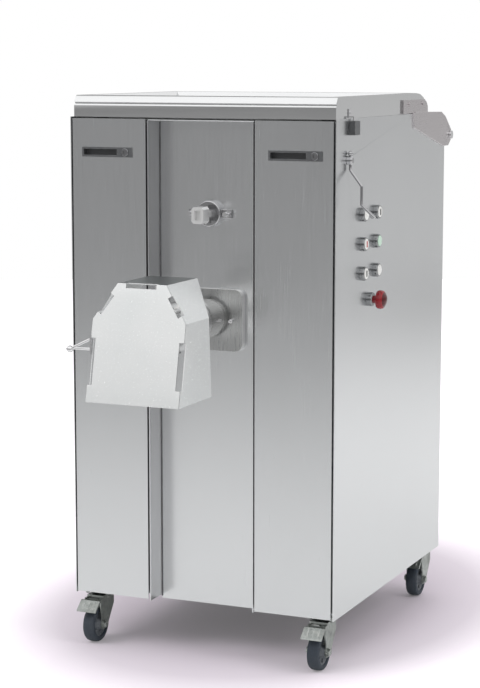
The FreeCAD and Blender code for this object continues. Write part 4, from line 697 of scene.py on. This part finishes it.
for side_name, middle, lip in (("left", -209.5, -129.5), ("right", 208.5, 289.5)):
    eased(f"{side_name}_door", 0.0007, door_steel)
    eased(f"{side_name}_door_pull", 0.0005, pull_black)
    eased(f"{side_name}_door_lock", 0.0003, lock_steel)
    channel = block((middle, STIFFENER_Y, STIFFENER_Z), STIFFENER_SIZE)
    channel.name = f"{side_name}_door_stiffener"
    pick(channel, "FACE", lambda face: face.normal.y > 0.9)
    bpy.ops.transform.resize(value=(0.6, 1, 0.985))
    bpy.ops.object.mode_set(mode="OBJECT")
    bevelled(channel, 0.0015, 3)
    taken(channel, f"{side_name}_door_leaf", door_steel, SLOT_OF[f"{side_name}_door"])
    stops = [lathed("stop", "Y", (lip, STOP_Y, z), STOP, 24) for z in STOP_ROWS]
    taken(joined(f"{side_name}_door_stops", stops), "cabinet", rubber, SLOT_OF["castor_front_left_wheel"])


# Mixing tub: bent and welded from 2.5 mm sheet, ground smooth inside, with a white silicone
# seal on its rim. The paddle's arms are welded to its shaft.
tub_steel = steel("tub_steel", (0.70, 0.71, 0.71), 0.22, fine=(30, 30, 700), broad=(5, 5, 5), depth=0.05)
eased("hopper_tub", 0.0006, tub_steel)
seal_white, tree, shader, place = material("seal_silicone")
mottle = noise(tree, place, 60.0, 3.0)
link(tree, ramp(tree, mottle, ((0.3, (0.66, 0.66, 0.63)), (0.7, (0.76, 0.76, 0.74)))), shader.inputs["Base Color"])
link(tree, ramp(tree, mottle, ((0.3, 0.42), (0.7, 0.56))), shader.inputs["Roughness"])
bumped(tree, shader, noise(tree, place, 1200.0, 2.0), 0.15)
eased("lid_seal", 0.0012, seal_white, 4)
eased("mixing_paddle", 0.001, bright_steel)
PADDLE_HEIGHT, SHAFT_RADIUS, ARM_ROWS = 943, 14.2, (-205, -95, 15, 125)
FILLET = [(-1.5, 8), (-1.5, 12), (0.3, 11.2), (1.6, 10), (3.4, 9.2), (3.4, 8)]
rings = []
for index, y in enumerate(ARM_ROWS):
    fillet = lathed("arm_fillet", "Z", (0, 0, 0), FILLET, 32, closed=True)
    turn = Matrix.Rotation(math.radians(90 * index), 4, "Y")
    fillet.data.transform(Matrix.Translation(mm(0, y, PADDLE_HEIGHT)) @ turn @ Matrix.Translation(mm(0, 0, SHAFT_RADIUS)))
    rings.append(fillet)
taken(joined("paddle_welds", rings), "paddle", weld_tint, SLOT_OF["mixing_paddle"])


# Front bearing of the paddle: a turned stainless flange on two bolted ears, with a squared
# knob whose pin locks the shaft.
turned_steel = steel("turned_steel", (0.74, 0.74, 0.75), 0.11, fine=(60, 900, 60), broad=(9, 9, 9), depth=0.03)
dull_steel = steel("dull_steel", (0.46, 0.46, 0.47), 0.17, fine=(60, 900, 60), broad=(9, 9, 9), depth=0.04)
eased("paddle_bearing", 0.0012, dull_steel, 3)
knob_steel = steel("knob_steel", (0.88, 0.88, 0.88), 0.14, fine=(60, 900, 60), broad=(9, 9, 9), depth=0.03)
knob_steel.node_tree.nodes["Principled BSDF"].inputs["Metallic"].default_value = 0.6
eased("bearing_knob", 0.0016, knob_steel, 3)


# Grinding head: one casting from the neck to the bell, tinned and turned where it seats, on a
# thick flange plate. The ring nut draws the perforated plate against the knife.
cast_steel, tree, shader, place = material("cast_steel")
skin_grain = noise(tree, place, 420.0, 4.0, 0.6)
patina = noise(tree, place, 18.0, 4.0, 0.6)
tone = ramp(tree, patina, ((0.30, (0.66, 0.66, 0.65)), (0.70, (0.74, 0.74, 0.74))))
link(tree, blend_of(tree, worn(tree, place), tone, (0.82, 0.82, 0.82)), shader.inputs["Base Color"])
link(tree, ramp(tree, skin_grain, ((0.3, 0.10), (0.7, 0.17))), shader.inputs["Roughness"])
shader.inputs["Metallic"].default_value = 1.0
bumped(tree, shader, skin_grain, 0.04)
flange_steel, tree, shader, place = material("flange_steel")
grain = noise(tree, stretched(tree, place, (700, 700, 30)), 1.0, 4.0, 0.6)
# The rounded rim shows pale, nearly matt white: a painted highlight for the bright line along the plate's edge.
rim = tree.nodes.new("ShaderNodeAttribute")
rim.attribute_name = "edge"
tone = ramp(tree, grain, ((0.3, (0.40, 0.41, 0.41)), (0.7, (0.46, 0.46, 0.46))))
link(tree, blend_of(tree, rim.outputs["Fac"], tone, 0.90), shader.inputs["Base Color"])
gloss = ramp(tree, grain, ((0.3, 0.24), (0.7, 0.34)))
link(tree, blend_of(tree, rim.outputs["Fac"], gloss, 0.12), shader.inputs["Roughness"])
link(tree, blend_of(tree, rim.outputs["Fac"], 1.0, 0.12), shader.inputs["Metallic"])
bumped(tree, shader, grain, 0.05)
flange = eased("head_flange_plate", 0.0035, flange_steel, 5)
# The plate's side faces are marked as rim too, so they carry the same painted highlight.
for face, value in zip(flange.data.polygons, flange.data.attributes["edge"].data):
    if abs(face.normal.y) < 0.8:
        value.value = 1.0
eased("grinder_head", 0.0012, cast_steel, 3)
eased("mincer_plate", 0.0003, turned_steel, 1)
eased("knife", 0.0004, turned_steel)
eased("ring_nut", 0.0012, cast_steel, 3)


# Feed worm: a forged screw, ground bright on its outer edge.
WORM_HEIGHT, FLIGHT_START, FLIGHT_LENGTH, PITCH = 725.5, -506, 693, 75
WORM_CORE = [(-564, 0), (-564, 6.9), (-563.4, 7.5), (-556, 7.5), (-556, 6.5), (-546.7, 6.5), (-546.7, 16.2),
             (-545.7, 17), (-516, 11), (257.5, 11), (257.5, 0)]
SECTION = ((10.6, -5.0), (12.5, -3.4), (22, -2.8), (29.6, -2.4), (31, -1.4),
           (31, 1.4), (29.6, 2.4), (22, 2.8), (12.5, 3.4), (10.6, 5.0))
core = lathed("worm_core", "Y", (0, 0, WORM_HEIGHT), WORM_CORE, 40)
clear()
bpy.ops.mesh.primitive_circle_add(vertices=len(SECTION), radius=0.01, location=mm(20.5, FLIGHT_START, WORM_HEIGHT))
flight = bpy.context.object
bpy.ops.object.transform_apply(location=True)
for vertex, (reach_out, along) in zip(flight.data.vertices, SECTION):
    vertex.co = mm(reach_out, along, 0)
twist = flight.modifiers.new("twist", "SCREW")
twist.axis = "Y"
twist.angle = -2 * math.pi * FLIGHT_LENGTH / PITCH
twist.screw_offset = FLIGHT_LENGTH / 1000
twist.steps = twist.render_steps = 330
twist.use_normal_calculate = True
bpy.ops.object.modifier_apply(modifier=twist.name)
flight.data.transform(Matrix.Translation(mm(0, FLIGHT_START, WORM_HEIGHT)))
pick(flight, "EDGE", lambda edge: edge.is_boundary)
bpy.ops.mesh.edge_face_add()
bpy.ops.mesh.select_all(action="SELECT")
bpy.ops.mesh.normals_make_consistent(inside=False)
bpy.ops.object.mode_set(mode="OBJECT")
bpy.ops.object.shade_smooth_by_angle(angle=math.radians(50))
taken(joined("worm_screw", [core, flight]), "worm", turned_steel, SLOT_OF["feed_worm"], "feed_worm")


# Guard over the outlet: 2 mm sheet cut and folded, its leaning front joined by tabs between
# long slots. The bent handle at its left lifts it about the pin.
guard_steel, tree, shader, place = material("guard_steel")
matt = noise(tree, place, 500.0, 3.0, 0.6)
haze = noise(tree, place, 8.0, 3.0)
tone = ramp(tree, haze, ((0.35, (0.83, 0.85, 0.85)), (0.65, (0.88, 0.89, 0.89))))
link(tree, blend_of(tree, worn(tree, place), tone, (0.95, 0.95, 0.95)), shader.inputs["Base Color"])
link(tree, ramp(tree, matt, ((0.3, 0.20), (0.7, 0.28))), shader.inputs["Roughness"])
shader.inputs["Metallic"].default_value = 0.55
bumped(tree, shader, matt, 0.004)
# A dark copy of the steel on the guard's top face and on the front plate's side faces: painted shade and painted
# reflection, not a different sheet.
guard_shade_steel = steel("guard_shade_steel", (0.20, 0.22, 0.22), 0.30, fine=(40, 700, 700), broad=(9, 9, 9), depth=0.04)
shell = eased("guard_shell", 0.0006, guard_steel, 2, 12)
tinted(shell, guard_shade_steel, lambda face: face.normal.z > 0.95 and face.center.z > 0.8)
cover = eased("guard_front_plate", 0.0005, guard_steel, 2, 12)
tinted(cover, guard_shade_steel, lambda face: abs(face.normal.x) > 0.5)
shell.visible_glossy = cover.visible_glossy = False
eased("guard_handle", 0.0006, bright_steel)
eased("front_bolts", 0.0008, bright_steel)


# Lid: one pressed sheet with a bevelled nose and a shallow tray, carried by two arms on the
# rear shaft. Plates outside the arms take the shaft's nuts.
lid_steel = steel("lid_steel", (0.76, 0.765, 0.77), 0.15, fine=(12, 900, 900), depth=0.02)
NOSE_SIDE, NOSE_LOW = 0.284, 1.1655
TRAY_FLOOR, TRAY_SIDE, TRAY_REAR = (1.1695, 1.1732), 0.283, 0.136
LID_MIDDLE, RIB_SPACING, RIB_HEIGHT = -95, 115, 1166


def pressed(piece):
    """Flat ends to the lid's nose, and walls that slope into its tray."""
    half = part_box("lid_shell")[1][0]
    for sign in (-1, 1):
        pick(piece, "FACE", lambda face: sign * face.normal.x > 0.2
             and sign * face.calc_center_median().x > NOSE_SIDE and face.calc_center_median().z > NOSE_LOW)
        bpy.ops.transform.resize(value=(0, 1, 1), center_override=(sign * half, 0, 0))
    pick(piece, "VERT", lambda vert: TRAY_FLOOR[0] < vert.co.z < TRAY_FLOOR[1]
         and abs(vert.co.x) < TRAY_SIDE and vert.co.y < TRAY_REAR)
    bpy.ops.transform.resize(value=(0.957, 0.947, 1), center_override=mm(0, LID_MIDDLE, 1171))


eased("lid_shell", 0.0008, lid_steel, 3, shape=pressed)
ribs = []
for place_along in (-1, 0, 1):
    rib = block((0, LID_MIDDLE + RIB_SPACING * place_along, RIB_HEIGHT), (440, 30, 8))
    pick(rib, "FACE", lambda face: face.normal.z < -0.9)
    bpy.ops.transform.resize(value=(0.97, 0.5, 1))
    bpy.ops.object.mode_set(mode="OBJECT")
    ribs.append(bevelled(rib, 0.0015, 3))
taken(joined("lid_ribs", ribs), "lid", lid_steel, SLOT_OF["lid_shell"])
plate_steel = steel("plate_steel", (0.60, 0.57, 0.58), 0.28, fine=(900, 14, 900), broad=(6, 6, 6), depth=0.03)
eased("lid_arms", 0.0005, plate_steel, 1)
eased("hinge_plates", 0.0008, plate_steel)
eased("hinge_shaft", 0.001, bright_steel)


# Lid switch: a sealed plastic box under the lid's edge, and the steel key that drops into it.
eased("interlock_switch", 0.0012, pull_black)
eased("interlock_key", 0.0004, bright_steel)


# Push buttons: turned metal rings through the side panel round glossy plastic caps, with a
# mushroom stop on a collar below them.
def plastic(name, colour, gloss, speck=0.06):
    """Moulded plastic with faint swirl, dulled patches and rubbed edges."""
    made, tree, shader, place = material(name)
    swirl = noise(tree, place, 150.0, 3.0)
    dark = [c * (1 - speck) for c in colour]
    tone = ramp(tree, swirl, ((0.3, tuple(dark)), (0.7, tuple(colour))))
    pale = [min(1.0, c * 1.1 + 0.02) for c in colour]
    link(tree, blend_of(tree, worn(tree, place, 300.0), tone, pale), shader.inputs["Base Color"])
    link(tree, ramp(tree, swirl, ((0.3, gloss), (0.7, gloss + 0.10))), shader.inputs["Roughness"])
    bumped(tree, shader, noise(tree, place, 700.0, 2.0), 0.06)
    return made


ring_steel = steel("ring_steel", (0.27, 0.275, 0.28), 0.16, fine=(300, 300, 300), broad=(40, 40, 40), depth=0.04)
eased("control_bezels", 0.0006, ring_steel, 3)
caps = {
    "white": plastic("cap_white", (0.80, 0.80, 0.78), 0.28), "red": plastic("cap_red", (0.42, 0.03, 0.03), 0.25),
    "green": plastic("cap_green", (0.55, 0.72, 0.60), 0.28), "black": plastic("cap_black", (0.03, 0.03, 0.032), 0.3)}
MARKS = {"white_a": None, "red": "red", "white_b": "black", "black_bar": "black", "green": None, "white_c": None}
for index, (label, mark) in enumerate(MARKS.items()):
    node = "button_" + label
    eased(node, 0.0006, caps["green" if label == "green" else "white"], 3)
    if mark:
        low, high = (Vector(corner) * 1000 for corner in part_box(node))
        bar = block((high.x + 0.1, (low.y + high.y) / 2, (low.z + high.z) / 2), (1.2, 5, 13))
        bar.name = node + "_bar"
        pick(bar, "FACE", lambda face: face.normal.x > 0.9)
        bpy.ops.mesh.inset(thickness=0.0005)
        bpy.ops.object.mode_set(mode="OBJECT")
        bevelled(bar, 0.0004, 2)
        taken(bar, BODY_OF[node], caps[mark], SLOT_OF[node])
CABINET_SIDE = 300
MUSHROOM = [
    (-22, 0), (-22, 8), (19, 8), (20.6, 8.6), (21.4, 10), (21.6, 17), (22.2, 18.4), (24.4, 19.6), (27, 20),
    (30, 19.8), (33, 19), (35.2, 17.4), (36.4, 15.6), (36.8, 14.6), (38, 13.2), (39.4, 10.6), (40.6, 7.6), (41.5, 4),
    (41.9, 0)]
low, high = (Vector(corner) * 1000 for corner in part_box("stop_mushroom"))
middle = (low + high) / 2
stop = lathed("stop_mushroom_skin", "X", (CABINET_SIDE, middle.y, middle.z), MUSHROOM, 64)
stop_red = plastic("stop_red", (0.26, 0.006, 0.012), 0.16)
taken(stop, BODY_OF["stop_mushroom"], stop_red, SLOT_OF["stop_mushroom"], "stop_mushroom")
# The dome's outer faces take a much darker copy of the red: painted shade on the mushroom's crown.
tinted(stop, plastic("stop_crown_shade", (0.07, 0.001, 0.003), 0.14), lambda face: face.center.x > 0.3366)
stop.visible_glossy = False


# Hand lever: a cranked bar on a short shaft through the right side panel.
eased("hand_lever", 0.0006, dull_steel)


# Drives: two painted gearboxes with finned motors behind the tub, and a powder-coated steel
# box for the switchgear.
motor_paint, tree, shader, place = material("motor_paint")
peel = noise(tree, place, 320.0, 3.0)
soil = noise(tree, place, 12.0, 4.0, 0.6)
tone = ramp(tree, soil, ((0.35, (0.13, 0.19, 0.24)), (0.65, (0.17, 0.24, 0.30))))
link(tree, blend_of(tree, worn(tree, place, 80.0), tone, (0.34, 0.35, 0.35)), shader.inputs["Base Color"])
link(tree, ramp(tree, peel, ((0.3, 0.34), (0.7, 0.46))), shader.inputs["Roughness"])
bumped(tree, shader, peel, 0.35)
eased("auger_gearmotor", 0.003, motor_paint)
eased("paddle_gearmotor", 0.003, motor_paint)


def fins(name, body_name, axis, centre, inner, outer, low, high, count, keep):
    """Cooling fins round a motor: one tapered blade copied about the motor's axis."""
    blade = block(((inner + outer) / 2, 0, (low + high) / 2), (outer - inner, 3.2, high - low))
    pick(blade, "FACE", lambda face: face.normal.x > 0.9)
    bpy.ops.transform.resize(value=(1, 0.55, 0.985))
    bpy.ops.object.mode_set(mode="OBJECT")
    bevelled(blade, 0.0005, 2)
    stand = Matrix.Translation(mm(*centre)) @ (Matrix.Rotation(math.radians(90), 4, "Y") if axis == "X" else Matrix())
    blades = []
    for index in range(count):
        angle = 360 / count * index
        if keep(angle):
            blades.append(copied(blade, stand @ Matrix.Rotation(math.radians(angle), 4, "Z")))
    bpy.data.objects.remove(blade)
    return taken(joined(name, blades), "cabinet", motor_paint, SLOT_OF[body_name])


def clear_of_box(angle):
    """Whether a fin at this angle misses the gearbox and the terminal box."""
    return not 215 < angle < 325 and 25 <= angle <= 335


AUGER_MOTOR_Y, PADDLE_MOTOR_Y = 273.5, 255.5
fins("auger_motor_fins", "auger_gearmotor", "Z", (0, AUGER_MOTOR_Y, 0), 68.5, 74.5, 425, 640, 32, clear_of_box)
fins("paddle_motor_fins", "paddle_gearmotor", "X", (-225, PADDLE_MOTOR_Y, PADDLE_HEIGHT), 46.5, 51.5, 8, 158, 28,
     lambda angle: True)
GRILLE = [(0, 0), (0, 8), (1.5, 9), (1.5, 13), (0, 14), (0, 20), (1.5, 21), (1.5, 25), (0, 26), (0, 32), (1.5, 33),
          (1.5, 37), (0, 38), (0, 41), (1.2, 42.5), (4, 43)]
grille = [lathed("grille", "X", (-253, PADDLE_MOTOR_Y, PADDLE_HEIGHT), GRILLE + [(4, 0)], 48)]
wide = [(a, r * 1.45) for a, r in GRILLE]
grille.append(lathed("grille", "Z", (0, AUGER_MOTOR_Y, 374.5), wide + [(4, 0)], 56))
taken(joined("fan_grilles", grille), "cabinet", caps["black"], SLOT_OF["auger_gearmotor"])
fasteners = [bolt((x, 309.5, WORM_HEIGHT + z), (0, 1, 0), 10, 6, washer=1.4, socket=True)
             for x in (-60, 60) for z in (-60, 60)]
fasteners += [bolt((x, 293.5, PADDLE_HEIGHT + z), (0, 1, 0), 8, 5, washer=1.2, socket=True)
              for x in (-43, 43) for z in (-40, 40)]
fasteners += [bolt((98.2, y, z), (1, 0, 0), 5, 2.6, washer=0.8, socket=True) for y in (250, 302) for z in (502, 578)]
taken(joined("drive_bolts", fasteners), "cabinet", screw_steel, SLOT_OF["auger_gearmotor"])
case_grey, tree, shader, place = material("case_grey")
pebble = noise(tree, place, 800.0, 2.0)
tone = ramp(tree, noise(tree, place, 9.0, 3.0), ((0.3, (0.50, 0.51, 0.50)), (0.7, (0.56, 0.57, 0.56))))
link(tree, tone, shader.inputs["Base Color"])
link(tree, ramp(tree, pebble, ((0.3, 0.48), (0.7, 0.60))), shader.inputs["Roughness"])
bumped(tree, shader, pebble, 0.4)
eased("control_box", 0.002, case_grey)
BARREL = [(-20, 0), (-20, 3.4), (-19, 4), (-7, 4), (-6.6, 3.6), (-6.2, 4), (6.2, 4), (6.6, 3.6), (7, 4), (19, 4),
          (20, 3.4), (20, 0)]
ENTRY = [(0, 0), (0, 13), (-4, 13), (-4.4, 11.5), (-14, 11.5), (-18, 8.5), (-18, 4.5), (-6, 4.5), (-6, 0)]
trim = [bolt((x, 317.5, z), (0, 1, 0), 8, 2.4, washer=0.8, socket=True) for x in (-262, -138) for z in (308, 552)]
trim += [lathed("hinge_barrel", "Z", (-276.5, 316, z), BARREL, 24) for z in (350, 510)]
taken(joined("control_box_fittings", trim), "cabinet", screw_steel, SLOT_OF["control_box"])
entries = [lathed("entry", "Z", (x, 258, 300), ENTRY, 32) for x in (-235, -200, -165)]
taken(joined("control_box_glands", entries), "cabinet", pull_black, SLOT_OF["cable_gland"])
eased("cable_gland", 0.0008, pull_black)
